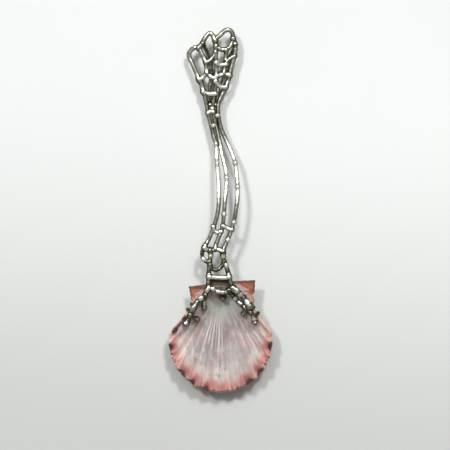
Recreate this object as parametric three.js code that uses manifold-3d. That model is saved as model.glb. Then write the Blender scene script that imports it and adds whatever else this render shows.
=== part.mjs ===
// A spoon with a natural scallop valve for its bowl and a handle of fused silver wire.
// Millimetres. The spoon lies on its back as on a table: +Z is up, +Y runs along the handle
// from the bowl to the crown, +X is to the right seen from above. The beak of the valve is at x = y = 0.
import * as THREE from "three";
import { mergeVertices } from "three/addons/utils/BufferGeometryUtils.js";
import Module from "manifold-3d";

const wasm = await Module();
wasm.setup();

// The valve
const discRadius = 20.5;
const beakToDiscCentre = 22.3;
const leftShoulder = 4.6;
const rightShoulder = 5.5;
const shoulderAngle = 38;
const shoulderBlend = 2.6;
const bowlDepth = 8.6;
const beakToDeepest = 19;
const shellWall = 1.4;
const ribCount = 15;
const ribSpread = 104;
const ribDepthInside = 0.3;
const ribDepthOutside = 0.5;
const earWall = 1.1;
const leftEarReach = 12.6;
const leftEarFall = 7.2;
const rightEarReach = 14.3;
const rightEarFall = 6.6;
const rightEarRise = 2.4;
const earNotch = 0.3;
const earTaper = 2;
const restFlat = 0.4;
const padWidth = 3.2;

// The silver
const wireDiameter = 1.7;
const railDiameter = 1.9;
const clawDiameter = 2.6;
const hookDiameter = 1.4;
const knuckleDiameter = 2.3;
const tipDiameter = 2.3;
const granuleDiameter = 2.2;
const solderGap = 0.3;
const seatGap = 0.3;

// The handle, from the bowl up: clasp, stem, crown
const claspLength = 26.9;
const claspWidth = 13.1;
const claspOverBowl = 2.05;
const claspLeft = 7.8;
const claspRise = 0.9;
const stemLength = 48.8;
const stemSpread = 10.25;
const stemLeft = 3.1;
const stemArch = 0.9;
const neckHeight = 6;
const crownLength = 32.8;
const crownWidth = 20.5;
const crownOffset = 3.7;
const crownHeight = 7.2;
const crownEdgeDrop = 2.4;
const hookReach = 4.6;
const strapDepth = 5.4;
const strapReach = 4.4;
const strapWidth = 7;

// How finely round forms are drawn
const wireSides = 6;
const wireStep = 2.4;
const stemStep = 4;
const ballSides = 6;
const ribSteps = 4;
const flankSteps = 4;
const shellRows = 8;

const wireRadius = wireDiameter / 2;
const railRadius = railDiameter / 2;
const clawRadius = clawDiameter / 2;
const hookRadius = hookDiameter / 2;
const hingeHeight = bowlDepth + shellWall + ribDepthOutside - restFlat;
const claspStart = -claspOverBowl;
const stemStart = claspStart + claspLength;
const crownStart = stemStart + stemLength;
const degrees = Math.PI / 180;

const silver = { color: 0xc9c8c0, roughness: 0.24, metalness: 1 };
const nacre = { color: 0xc9b7ad, roughness: 0.35, metalness: 0 };
const horn = { color: 0x3a2418, roughness: 0.5, metalness: 0 };

const spoon = new THREE.Group();
spoon.name = "shell_spoon";

function solidOf(geometry) {
  geometry.deleteAttribute("normal");
  geometry.deleteAttribute("uv");
  const merged = mergeVertices(geometry, 1e-4);
  const faces = [];
  const index = merged.index.array;
  for (let i = 0; i < index.length; i += 3) {
    const [a, b, c] = [index[i], index[i + 1], index[i + 2]];
    if (a !== b && b !== c && c !== a) faces.push(a, b, c);
  }
  return new wasm.Manifold(new wasm.Mesh({
    numProp: 3,
    vertProperties: Float32Array.from(merged.attributes.position.array),
    triVerts: Uint32Array.from(faces),
  }));
}

function addPart(name, solid, look) {
  const { vertProperties, triVerts } = solid.getMesh();
  const geometry = new THREE.BufferGeometry();
  geometry.setAttribute("position", new THREE.Float32BufferAttribute(vertProperties, 3));
  geometry.setIndex(Array.from(triVerts));
  geometry.computeVertexNormals();
  const mesh = new THREE.Mesh(geometry, new THREE.MeshStandardMaterial(look));
  mesh.name = name;
  spoon.add(mesh);
}

function smooth(from, to, value) {
  return THREE.MathUtils.smoothstep(value, from, to);
}

// Closed plate between two faces of a grid: faceAt(side, u, v) with side 1 on top and -1 below.
function plateSolid(columns, rows, faceAt) {
  const points = [];
  const faces = [];
  const across = columns + 1;
  const layer = across * (rows + 1);
  for (const side of [1, -1]) {
    for (let row = 0; row <= rows; row += 1) {
      for (let column = 0; column <= columns; column += 1) {
        points.push(...faceAt(side, column / columns, row / rows).toArray());
      }
    }
  }
  const quad = (a, b, c, d) => faces.push(a, b, c, a, c, d);
  for (let row = 0; row < rows; row += 1) {
    for (let column = 0; column < columns; column += 1) {
      const at = row * across + column;
      quad(at, at + across, at + across + 1, at + 1);
      quad(layer + at, layer + at + 1, layer + at + across + 1, layer + at + across);
    }
  }
  for (let column = 0; column < columns; column += 1) {
    const last = rows * across + column;
    quad(column, column + 1, layer + column + 1, layer + column);
    quad(last, layer + last, layer + last + 1, last + 1);
  }
  for (let row = 0; row < rows; row += 1) {
    const left = row * across;
    const right = left + columns;
    quad(left, layer + left, layer + left + across, left + across);
    quad(right, right + across, layer + right + across, layer + right);
  }
  const geometry = new THREE.BufferGeometry();
  geometry.setAttribute("position", new THREE.Float32BufferAttribute(points, 3));
  geometry.setIndex(faces);
  return solidOf(geometry);
}

// The valve's outline: distance from the beak to the margin, at an angle from the long axis.
function marginReach(angle) {
  const side = Math.abs(angle);
  const slope = Math.sin(side) - Math.cos(side) * Math.tan(shoulderAngle * degrees);
  const halfWidth = angle < 0 ? leftShoulder : rightShoulder;
  const shoulder = slope > 0.02 ? halfWidth / slope : Infinity;
  const sweep = beakToDiscCentre * Math.sin(side);
  const pastDisc = side > 62 * degrees || sweep >= discRadius;
  const round = pastDisc
    ? Infinity
    : beakToDiscCentre * Math.cos(side) + Math.sqrt(discRadius ** 2 - sweep ** 2);
  const near = Math.max(shoulderBlend - Math.abs(shoulder - round), 0) / shoulderBlend;
  return Math.min(shoulder, round) - (Number.isFinite(near) ? (near ** 2 * shoulderBlend) / 4 : 0);
}

const outline = [];
for (let step = -45; step <= 45; step += 1) {
  const angle = step * 2 * degrees;
  outline.push(new THREE.Vector2(Math.sin(angle), -Math.cos(angle)).multiplyScalar(marginReach(angle)));
}

// Share of the way from the deepest point of the bowl to the outline.
function rimShare(x, y) {
  const dx = x;
  const dy = y + beakToDeepest;
  let share = 0;
  for (let i = 0; i < outline.length; i += 1) {
    const a = outline[i];
    const b = outline[(i + 1) % outline.length];
    const ex = b.x - a.x;
    const ey = b.y - a.y;
    const cross = a.x * ey - (a.y + beakToDeepest) * ex;
    if (Math.abs(cross) > 1e-9) share = Math.max(share, (dx * ey - dy * ex) / cross);
  }
  return share;
}

function domeHeight(x, y) {
  return hingeHeight - bowlDepth * (1 - rimShare(x, y) ** 2);
}

function domeNormal(x, y) {
  const h = 0.05;
  const alongX = (domeHeight(x + h, y) - domeHeight(x - h, y)) / (2 * h);
  const alongY = (domeHeight(x, y + h) - domeHeight(x, y - h)) / (2 * h);
  return new THREE.Vector3(-alongX, -alongY, 1).normalize();
}

function ribWave(angle, share) {
  const pitch = (ribSpread / ribCount) * degrees;
  const edge = (ribSpread / 2) * degrees;
  const fade = smooth(0.2, 0.62, share) * (1 - smooth(edge - pitch, edge, Math.abs(angle)));
  return Math.cos((2 * Math.PI * angle) / pitch) * fade;
}

// A place in plan: angle in degrees from the long axis, share of the way from the beak to the margin.
function valvePlan(angle, share) {
  const turn = angle * degrees;
  return new THREE.Vector2(Math.sin(turn), -Math.cos(turn)).multiplyScalar(marginReach(turn) * share);
}

// The middle of a wire that lies on the inside of the valve, or level on its edge outside the margin.
function overValve({ x, y }, radius = wireRadius) {
  const level = Math.min(domeHeight(x, y), hingeHeight);
  const steep = rimShare(x, y) < 1 ? domeNormal(x, y).z : 1;
  return new THREE.Vector3(x, y, level + (ribDepthInside + seatGap + radius) / steep);
}

// The middle of a wire that lies against the back of the valve.
function underValve({ x, y }, radius = wireRadius) {
  const clear = shellWall + ribDepthOutside + seatGap + radius;
  return new THREE.Vector3(x, y, domeHeight(x, y) - clear / domeNormal(x, y).z);
}

// The valve's column angles: evenly over the ribs, wider on the plain flanks.
const columnAngles = [];
const flank = 90 - ribSpread / 2;
const ribColumns = ribCount * ribSteps;
for (let i = 0; i < flankSteps; i += 1) columnAngles.push(-90 + (flank * i) / flankSteps);
for (let i = 0; i <= ribColumns; i += 1) columnAngles.push(ribSpread * (i / ribColumns - 0.5));
for (let i = flankSteps - 1; i >= 0; i -= 1) columnAngles.push(90 - (flank * i) / flankSteps);

function discSolid(grow) {
  const columns = columnAngles.length - 1;
  return plateSolid(columns, shellRows, (side, u, v) => {
    const angle = columnAngles[Math.round(u * columns)] * degrees;
    const share = 0.015 + 0.985 * v ** 0.8;
    const wave = ribWave(angle, share);
    const reach = marginReach(angle) * share * (1 + 0.012 * wave * smooth(0.9, 1, share));
    const x = Math.sin(angle) * reach;
    const y = -Math.cos(angle) * reach;
    const normal = domeNormal(x, y);
    const rib = side > 0 ? ribDepthInside * wave : ribDepthOutside * wave - shellWall;
    const point = new THREE.Vector3(x, y, domeHeight(x, y)).addScaledVector(normal, rib + side * grow);
    const outward = new THREE.Vector3(Math.sin(angle), -Math.cos(angle), 0);
    return point.addScaledVector(outward, v > 0.999 ? grow : 0);
  });
}

// A flat wing beside the beak, from the hinge line down to where it runs out on the shoulder.
// The right one carries the hinge line on behind the beak, over to the left shoulder.
function earSolid(side, reach, fall, rise, grow) {
  const halfWidth = side < 0 ? leftShoulder : rightShoulder;
  const slope = Math.tan(shoulderAngle * degrees);
  const hingeEnd = side < 0 ? halfWidth : -leftShoulder;
  const hingeShare = rise / (rise + fall);
  return plateSolid(5, 6, (face, u, v) => {
    const out = side > 0 ? u : 1 - u;
    const root = halfWidth + Math.max(v * (rise + fall) - rise, 0) * slope - earWall / 4;
    const innerX = THREE.MathUtils.lerp(hingeEnd, root, rise > 0 ? smooth(0, hingeShare, v) : 1);
    const foot = earTaper * smooth(0.5, 1, v);
    const outerX = reach - earNotch * Math.sin(2 * Math.PI * Math.min(v, 0.5)) - foot;
    const x = THREE.MathUtils.lerp(innerX - grow, Math.max(outerX, innerX + earWall) + grow, out);
    const top = rise * THREE.MathUtils.lerp(0.75, 1, (x + leftShoulder) / (reach + leftShoulder));
    const y = THREE.MathUtils.lerp(top + grow, -fall - grow, v);
    const level = hingeHeight - earWall * (0.15 + 0.3 * out) + 0.1 * Math.cos(6 * Math.PI * v) * out;
    return new THREE.Vector3(side * x, y, level - (face > 0 ? 0 : earWall) + face * grow);
  });
}

function valveSolid(grow) {
  return discSolid(grow)
    .add(earSolid(-1, leftEarReach, leftEarFall, 0, grow))
    .add(earSolid(1, rightEarReach, rightEarFall, rightEarRise, grow));
}

const tableBlock = new THREE.BoxGeometry(400, 400, 20);
tableBlock.translate(0, 0, -10);
const table = solidOf(tableBlock);

addPart("scallop_shell", valveSolid(0).subtract(table), nacre);

const seatedValve = valveSolid(seatGap);
const wires = [];

function ballSolid(centre, radius) {
  const ball = new THREE.SphereGeometry(radius, ballSides, ballSides - 2);
  ball.rotateX(Math.PI / 2);
  ball.translate(centre.x, centre.y, centre.z);
  return solidOf(ball);
}

function tubeSolid(curve, radius, step) {
  const section = new THREE.Shape();
  for (let i = 0; i < wireSides; i += 1) {
    const turn = ((i + 0.5) / wireSides) * 2 * Math.PI;
    const corner = new THREE.Vector2(Math.cos(turn), Math.sin(turn)).multiplyScalar(radius);
    if (i === 0) section.moveTo(corner.x, corner.y);
    else section.lineTo(corner.x, corner.y);
  }
  section.closePath();
  const steps = Math.max(3, Math.round(curve.getLength() / step));
  return solidOf(new THREE.ExtrudeGeometry(section, { steps, extrudePath: curve, bevelEnabled: false }));
}

// A round wire with balled ends, knuckles along it and tips, all grown by the same amount.
function wireSolid({ curve, ends, balls, radius, step }, grow) {
  let solid;
  if (curve.closed) {
    const points = curve.getPoints(24);
    const halves = [points.slice(0, 14), [...points.slice(12, 24), ...points.slice(0, 2)]];
    const tubes = halves.map((half) => tubeSolid(new THREE.CatmullRomCurve3(half), radius + grow, step));
    solid = tubes[0].add(tubes[1]);
  } else {
    solid = tubeSolid(curve, radius + grow, step);
  }
  for (const end of ends) solid = solid.add(ballSolid(end, radius + grow));
  for (const ball of balls) solid = solid.add(ballSolid(ball.at, ball.radius + grow));
  return solid;
}

function layWire(name, route, options = {}) {
  const { radius = wireRadius, step = wireStep, knuckles = [], tips = [], closed = false } = options;
  const curve = new THREE.CatmullRomCurve3(route, closed, "centripetal");
  const balls = [
    ...knuckles.map((i) => ({ at: route.at(i), radius: knuckleDiameter / 2 })),
    ...tips.map((i) => ({ at: route.at(i), radius: tipDiameter / 2 })),
  ];
  const wire = { name, curve, ends: closed ? [] : [route[0], route.at(-1)], balls, radius, step };
  wire.line = curve.getPoints(80);
  wire.solid = wireSolid(wire, 0);
  wire.cleared = wireSolid(wire, solderGap);
  wires.push(wire);
}

function layGranule(name, centre, lift) {
  const at = centre.clone();
  at.z += lift * granuleDiameter;
  const radius = granuleDiameter / 2;
  const solid = ballSolid(at, radius);
  const cleared = ballSolid(at, radius + solderGap);
  wires.push({ name, ends: [at], line: [at], solid, cleared, granule: true });
}

// How near the ends of one wire come to the middle line of another.
function endDistance(wire, other) {
  const away = wire.ends.flatMap((end) => other.line.map((point) => point.distanceTo(end)));
  return Math.min(Infinity, ...away);
}

// Of two wires that meet, the one that ends there is cut back; of two ends, the later one.
function yields(wire, other) {
  if (wire.granule !== other.granule) return Boolean(wire.granule);
  const own = endDistance(wire, other);
  const its = endDistance(other, wire);
  if (Math.abs(own - its) < wireRadius / 2) return wires.indexOf(wire) > wires.indexOf(other);
  return own < its;
}

function boxesMeet(a, b) {
  const first = a.boundingBox();
  const second = b.boundingBox();
  return [0, 1, 2].every((axis) => first.min[axis] < second.max[axis] && second.min[axis] < first.max[axis]);
}

function largestBody(solid) {
  return solid.decompose().reduce((best, body) => (body.volume() > best.volume() ? body : best));
}

function fitWires() {
  for (const wire of wires) {
    const others = wires.filter((other) => other !== wire && yields(wire, other));
    const cutters = [table, seatedValve, ...others.map((other) => other.cleared)];
    let solid = wire.solid;
    for (const cutter of cutters) if (boxesMeet(solid, cutter)) solid = solid.subtract(cutter);
    addPart(wire.name, largestBody(solid), silver);
  }
}

// Places on the handle, each as shares of the width and length of its own part.
const claspLevel = hingeHeight + railRadius + claspRise;
const keelLevel = wireRadius - restFlat / 4;

function clasp(across, along, drop = 0) {
  const x = across * claspWidth - claspLeft;
  return new THREE.Vector3(x, claspStart + along * claspLength, claspLevel - drop * strapDepth);
}

function stem(across, along) {
  const descent = THREE.MathUtils.lerp(claspLevel, neckHeight, smooth(0.08, 0.8, along));
  const level = descent + stemArch * Math.sin(Math.PI * along) * (1 - along);
  return new THREE.Vector3(across * stemSpread - stemLeft, stemStart + along * stemLength, level);
}

function crown(across, along) {
  const middle = THREE.MathUtils.lerp(neckHeight, crownHeight, smooth(0, 0.7, along));
  const edge = (2 * across - 1) ** 2 * crownEdgeDrop * (1 - 0.6 * along ** 2);
  const x = (across - 0.5) * crownWidth - crownOffset;
  return new THREE.Vector3(x, crownStart + along * crownLength, middle - edge);
}

function keel(across, along, rise) {
  const place = crown(across, along);
  place.z = THREE.MathUtils.lerp(keelLevel, place.z, rise);
  return place;
}

const inside = (angle, share) => overValve(valvePlan(angle, share));

const grip = (angle, share) => overValve(valvePlan(angle, share), clawRadius);

// A hook that leaves a claw, bends close over the shoulder's edge and grips the back.
function hookRoute(angle, from) {
  const edge = valvePlan(angle, 1);
  const side = valvePlan(angle + 1, 1).sub(valvePlan(angle - 1, 1)).normalize();
  const outward = new THREE.Vector2(side.y, -side.x);
  const past = (distance) => edge.clone().addScaledVector(outward, distance);
  const lean = Math.sqrt(1 - domeNormal(past(-shellWall).x, past(-shellWall).y).z ** 2);
  const turn = past(shellWall * lean + seatGap + hookRadius);
  return [
    from, overValve(past(-shellWall / 2), hookRadius),
    new THREE.Vector3(turn.x, turn.y, hingeHeight - shellWall / 2),
    underValve(past(-hookReach / 2), hookRadius), underValve(past(-hookReach), hookRadius),
  ];
}

const strands = {
  left: [
    crown(0.34, 0.19), crown(0.375, 0.11), crown(0.4, 0.03),
    stem(-0.2, 0.95), stem(-0.09, 0.85), stem(0.05, 0.735), stem(0.12, 0.69), stem(0.145, 0.62),
    stem(0.16, 0.527), stem(0.2, 0.43), stem(0.235, 0.27), stem(0.215, 0.15), stem(0.12, 0.05),
    clasp(0.3, 0.875), clasp(0.22, 0.785), clasp(0.1, 0.69),
  ],
  middle: [
    crown(0.575, 0.36), crown(0.585, 0.3), crown(0.575, 0.22), crown(0.56, 0.14), crown(0.535, 0.06),
    stem(0.01, 0.96), stem(0.14, 0.83), stem(0.29, 0.69), stem(0.355, 0.605), stem(0.52, 0.46),
    stem(0.545, 0.405), stem(0.535, 0.32), stem(0.48, 0.2), stem(0.44, 0.097),
    clasp(0.66, 0.985), clasp(0.6, 0.89), clasp(0.53, 0.81), clasp(0.465, 0.73), clasp(0.43, 0.645),
  ],
  right: [
    crown(0.785, 0.255), crown(0.75, 0.2), crown(0.7, 0.14), crown(0.65, 0.07),
    stem(0.205, 0.96), stem(0.33, 0.82), stem(0.53, 0.72), stem(0.76, 0.61), stem(0.89, 0.528),
    stem(0.955, 0.42), stem(0.988, 0.328), stem(0.985, 0.235), stem(0.935, 0.155), stem(0.83, 0.03),
    clasp(0.89, 0.87), clasp(0.82, 0.785), clasp(0.735, 0.695), clasp(0.668, 0.61),
  ],
};

layWire("stem_wire_left", strands.left, { step: stemStep, knuckles: [6, 8, 15] });
layWire("stem_wire_middle", strands.middle, { step: stemStep, knuckles: [10, 13] });
layWire("stem_wire_right", strands.right, { step: stemStep, knuckles: [8, 10, 13] });

// Clasp
layWire("clasp_rail_left", [
  clasp(0.27, 0.63), clasp(0.29, 0.54), clasp(0.262, 0.465), clasp(0.253, 0.38), clasp(0.23, 0.3),
  clasp(0.234, 0.21), clasp(0.22, 0.14), clasp(0.228, 0.05),
], { radius: railRadius, knuckles: [1, 2, 7] });
layWire("clasp_rail_right", [
  clasp(0.67, 0.6), clasp(0.684, 0.535), clasp(0.71, 0.46), clasp(0.77, 0.395), clasp(0.82, 0.32),
  clasp(0.86, 0.23), clasp(0.903, 0.145), clasp(0.97, 0.05),
], { radius: railRadius, knuckles: [1, 3, 7] });
layWire("clasp_bar_top", [
  clasp(0.09, 0.67), clasp(0.17, 0.643), clasp(0.27, 0.63), clasp(0.41, 0.637), clasp(0.54, 0.643),
  clasp(0.668, 0.61),
], { radius: railRadius });
layWire("clasp_loop", [
  clasp(0.1, 0.69), clasp(0.035, 0.62), clasp(0.02, 0.555), clasp(0.07, 0.49), clasp(0.16, 0.46),
  clasp(0.255, 0.455),
]);
layWire("clasp_arc", [
  clasp(0.26, 0.408), clasp(0.316, 0.356), clasp(0.41, 0.333), clasp(0.516, 0.337), clasp(0.616, 0.377),
  clasp(0.71, 0.46),
]);
layWire("clasp_bar_low", [
  clasp(0.232, 0.224), clasp(0.47, 0.218), clasp(0.69, 0.212), clasp(0.862, 0.222),
], { radius: railRadius });
layWire("clasp_saddle", [
  clasp(0.228, 0.05), clasp(0.366, 0.04), clasp(0.516, 0.005), clasp(0.656, -0.008), clasp(0.8, 0.005),
  clasp(0.97, 0.05),
], { radius: railRadius, knuckles: [2, 4] });
layWire("collar_left", [clasp(0.37, 0.99), clasp(0.4, 0.935), clasp(0.49, 0.9), clasp(0.615, 0.915)]);
layWire("collar_right", [clasp(0.67, 1), clasp(0.766, 0.98), clasp(0.86, 0.955), clasp(0.95, 0.945)]);
layWire("back_strap", [
  clasp(0.232, 0.26), clasp(0.25, 0.25, 0.3), clasp(0.34, 0.17, 0.9),
  underValve({ x: -strapWidth / 3, y: -strapReach / 2 }), underValve({ x: 0, y: -strapReach }),
  underValve({ x: strapWidth / 3, y: -strapReach / 2 }),
  clasp(0.76, 0.17, 0.9), clasp(0.84, 0.25, 0.3), clasp(0.85, 0.26),
]);

// Claws on the inside of the valve
layWire("claw_left", [
  clasp(0.228, 0.05), inside(-73, 0.92), inside(-62, 0.8), inside(-60, 0.96), inside(-57, 1),
  inside(-52, 0.94), inside(-47, 0.74), inside(-44, 0.65), inside(-43, 0.7),
], { radius: railRadius, tips: [-1], knuckles: [3] });
layWire("claw_left_short", [inside(-62, 0.8), inside(-46, 0.36), inside(-37, 0.33)], { tips: [-1] });
layWire("claw_left_inner", [inside(-47, 0.74), inside(-41, 0.54), inside(-35, 0.48)], { tips: [-1] });
layWire("hook_left_upper", hookRoute(-53.5, inside(-50, 0.8)), { radius: hookRadius, tips: [-1] });
layWire("hook_left_lower", hookRoute(-51, inside(-47, 0.74)), { radius: hookRadius, tips: [-1] });
layWire("claw_right_outer", [
  clasp(0.97, 0.05), grip(75, 0.98), grip(69, 1.03), grip(65, 1.1), grip(60, 1.08), grip(56, 1.02),
], { radius: clawRadius, knuckles: [2] });
layWire("claw_right_inner", [
  clasp(0.86, 0.02), inside(51, 0.4), inside(50, 0.51), inside(50, 0.64), inside(49, 0.72), inside(47, 0.7),
  inside(44, 0.69),
], { knuckles: [1, 3], tips: [-1] });
layWire("hook_right_upper", hookRoute(54, inside(50, 0.64)), { radius: hookRadius, tips: [-1] });
layWire("hook_right_lower", hookRoute(51.5, inside(48, 0.71)), { radius: hookRadius, tips: [-1] });
layWire("claw_right_short", [inside(50, 0.6), inside(45, 0.5), inside(40, 0.46)], { tips: [-1] });

// Crown: the net in front
layWire("crown_arch_left", [
  crown(0.25, 0.34), crown(0.19, 0.44), crown(0.12, 0.54), crown(0.06, 0.62), crown(0.05, 0.675),
  crown(0.1, 0.72), crown(0.18, 0.75), crown(0.25, 0.735), crown(0.29, 0.69), crown(0.34, 0.625),
  crown(0.39, 0.56),
], { radius: railRadius });
layWire("crown_loop_right", [
  crown(0.575, 0.83), crown(0.61, 0.87), crown(0.68, 0.905), crown(0.75, 0.95), crown(0.83, 0.97),
  crown(0.905, 0.945), crown(0.93, 0.88), crown(0.91, 0.81), crown(0.865, 0.755), crown(0.78, 0.725),
  crown(0.68, 0.725), crown(0.605, 0.76), crown(0.575, 0.8),
], { radius: railRadius, closed: true });
layWire("crown_arch_middle", [
  crown(0.24, 0.74), crown(0.31, 0.795), crown(0.36, 0.855), crown(0.41, 0.9), crown(0.465, 0.925),
  crown(0.52, 0.9), crown(0.575, 0.83),
], { radius: railRadius });
layWire("crown_strut_middle", [
  crown(0.59, 0.77), crown(0.58, 0.695), crown(0.545, 0.64), crown(0.475, 0.59), crown(0.39, 0.56),
]);
layWire("crown_strut_left", [crown(0.39, 0.56), crown(0.395, 0.495), crown(0.41, 0.42)]);
layWire("crown_band_left", [
  crown(0.25, 0.34), crown(0.32, 0.37), crown(0.41, 0.42), crown(0.465, 0.39), crown(0.53, 0.37),
  crown(0.575, 0.36),
], { radius: railRadius });
layWire("crown_strut_inner", [crown(0.58, 0.695), crown(0.59, 0.59), crown(0.6, 0.5), crown(0.595, 0.385)]);
layWire("crown_rail_right", [
  crown(0.93, 0.86), crown(0.975, 0.79), crown(0.98, 0.73), crown(0.965, 0.66), crown(0.94, 0.595),
  crown(0.91, 0.525), crown(0.88, 0.455), crown(0.86, 0.4),
], { radius: railRadius, knuckles: [1, 7] });
layWire("crown_strut_right", [
  crown(0.96, 0.64), crown(0.895, 0.62), crown(0.83, 0.59), crown(0.79, 0.545), crown(0.765, 0.49),
  crown(0.75, 0.42),
]);
layWire("crown_strut_back", [
  crown(0.79, 0.72), keel(0.79, 0.66, 0.85), keel(0.785, 0.6, 0.85), crown(0.77, 0.53),
]);
layWire("crown_saddle", [crown(0.595, 0.56), crown(0.64, 0.535), crown(0.7, 0.53), crown(0.785, 0.535)]);
layWire("crown_band_right", [
  crown(0.595, 0.39), crown(0.65, 0.4), crown(0.71, 0.41), crown(0.75, 0.42), crown(0.81, 0.41),
  crown(0.86, 0.4),
], { radius: railRadius });
layWire("crown_rail_left", [
  crown(0.25, 0.34), crown(0.3, 0.29), crown(0.315, 0.24), crown(0.34, 0.19),
], { radius: railRadius });
layWire("crown_sill", [
  crown(0.335, 0.19), crown(0.4, 0.175), crown(0.47, 0.165), crown(0.565, 0.17),
], { radius: railRadius });
layWire("crown_foot_right", [crown(0.86, 0.4), crown(0.845, 0.345), crown(0.815, 0.3), crown(0.785, 0.255)]);
layWire("crown_cup", [
  crown(0.58, 0.325), crown(0.62, 0.285), crown(0.68, 0.26), crown(0.74, 0.25), crown(0.785, 0.255),
], { radius: railRadius });

// Crown: the keel it rests on, behind the net
layWire("keel_wire_left", [
  keel(0.47, 0.03, 0.88), keel(0.46, 0.12, 0.5), keel(0.47, 0.25, 0.12), keel(0.49, 0.38, 0),
  keel(0.49, 0.5, 0), keel(0.46, 0.6, 0.14), keel(0.42, 0.68, 0.42), keel(0.36, 0.755, 0.75),
  keel(0.32, 0.8, 1),
]);
layWire("keel_wire_right", [
  keel(0.585, 0.03, 0.86), keel(0.63, 0.12, 0.5), keel(0.7, 0.25, 0.12), keel(0.76, 0.38, 0),
  keel(0.8, 0.5, 0), keel(0.85, 0.6, 0.14), keel(0.91, 0.68, 0.45), keel(0.96, 0.74, 0.75),
  keel(0.975, 0.79, 1),
]);
layWire("keel_bar", [keel(0.49, 0.44, 0), keel(0.63, 0.43, 0), keel(0.78, 0.44, 0)]);

// Neck
layWire("neck_band", [stem(-0.2, 0.95), stem(-0.12, 0.965), stem(-0.06, 0.965), stem(0.01, 0.96)]);

layGranule("neck_granule_large", stem(0.02, 0.846), 0.4);
layGranule("neck_granule_right", stem(0.18, 0.93), 0.4);
layGranule("neck_granule_left", stem(-0.03, 0.99), 0.3);

fitWires();

// The dark pad left in the pit under the hinge
const pad = new THREE.SphereGeometry(padWidth / 2, 10, 6);
pad.scale(1, 0.8, 0.6);
const pit = overValve(valvePlan(8, padWidth / marginReach(0)));
pad.translate(pit.x + padWidth / 6, pit.y - padWidth / 2, pit.z - wireRadius);
let padSolid = solidOf(pad).subtract(seatedValve);
for (const wire of wires) if (boxesMeet(padSolid, wire.cleared)) padSolid = padSolid.subtract(wire.cleared);
addPart("hinge_ligament", largestBody(padSolid), horn);

const box = new THREE.Box3().setFromObject(spoon);
const centre = box.getCenter(new THREE.Vector3());
for (const mesh of spoon.children) mesh.geometry.translate(-centre.x, -centre.y, -box.min.z);

export default spoon;
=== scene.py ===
import math

import bmesh
import bpy
import numpy as np
from mathutils import Matrix, Vector, noise
from mathutils.kdtree import KDTree


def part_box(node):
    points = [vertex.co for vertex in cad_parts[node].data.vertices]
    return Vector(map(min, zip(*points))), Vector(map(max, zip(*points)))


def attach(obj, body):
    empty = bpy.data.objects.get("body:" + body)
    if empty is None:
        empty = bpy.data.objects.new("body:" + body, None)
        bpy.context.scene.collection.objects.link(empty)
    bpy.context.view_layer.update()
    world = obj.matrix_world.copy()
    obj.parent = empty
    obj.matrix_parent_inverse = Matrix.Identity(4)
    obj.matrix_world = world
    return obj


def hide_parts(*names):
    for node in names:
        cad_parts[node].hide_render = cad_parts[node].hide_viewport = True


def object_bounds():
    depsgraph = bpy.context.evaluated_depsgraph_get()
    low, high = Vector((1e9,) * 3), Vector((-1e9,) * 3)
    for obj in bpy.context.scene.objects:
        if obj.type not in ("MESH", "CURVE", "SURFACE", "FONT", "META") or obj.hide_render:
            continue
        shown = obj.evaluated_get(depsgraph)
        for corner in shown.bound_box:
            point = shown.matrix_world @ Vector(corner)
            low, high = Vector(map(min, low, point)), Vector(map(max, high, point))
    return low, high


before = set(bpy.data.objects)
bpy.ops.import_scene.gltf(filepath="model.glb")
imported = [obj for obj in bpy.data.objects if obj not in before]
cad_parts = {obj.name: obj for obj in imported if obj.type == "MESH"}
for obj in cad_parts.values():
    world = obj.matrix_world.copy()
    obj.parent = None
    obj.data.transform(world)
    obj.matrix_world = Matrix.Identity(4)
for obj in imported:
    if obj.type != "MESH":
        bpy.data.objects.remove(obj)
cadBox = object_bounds()
print("frame loaded:", len(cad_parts), "nodes")

mm = 0.001
beakAhead = 31.259  # from the row's origin back to the beak, along the spoon


# Sizes are in millimetres with the beak at x = y = 0; toRow turns them into the row frame in metres
def toRow(points):
    moved = np.array(points, float).reshape(-1, 3) * mm
    moved[:, 1] -= beakAhead * mm
    return np.clip(moved, *cadBox)  # nothing reaches past the solids' own box


def smooth(low, high, value):
    share = np.clip((value - low) / (high - low), 0, 1)
    return share * share * (3 - 2 * share)


def blendTo(first, second, share):
    return first + (second - first) * share


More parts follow.
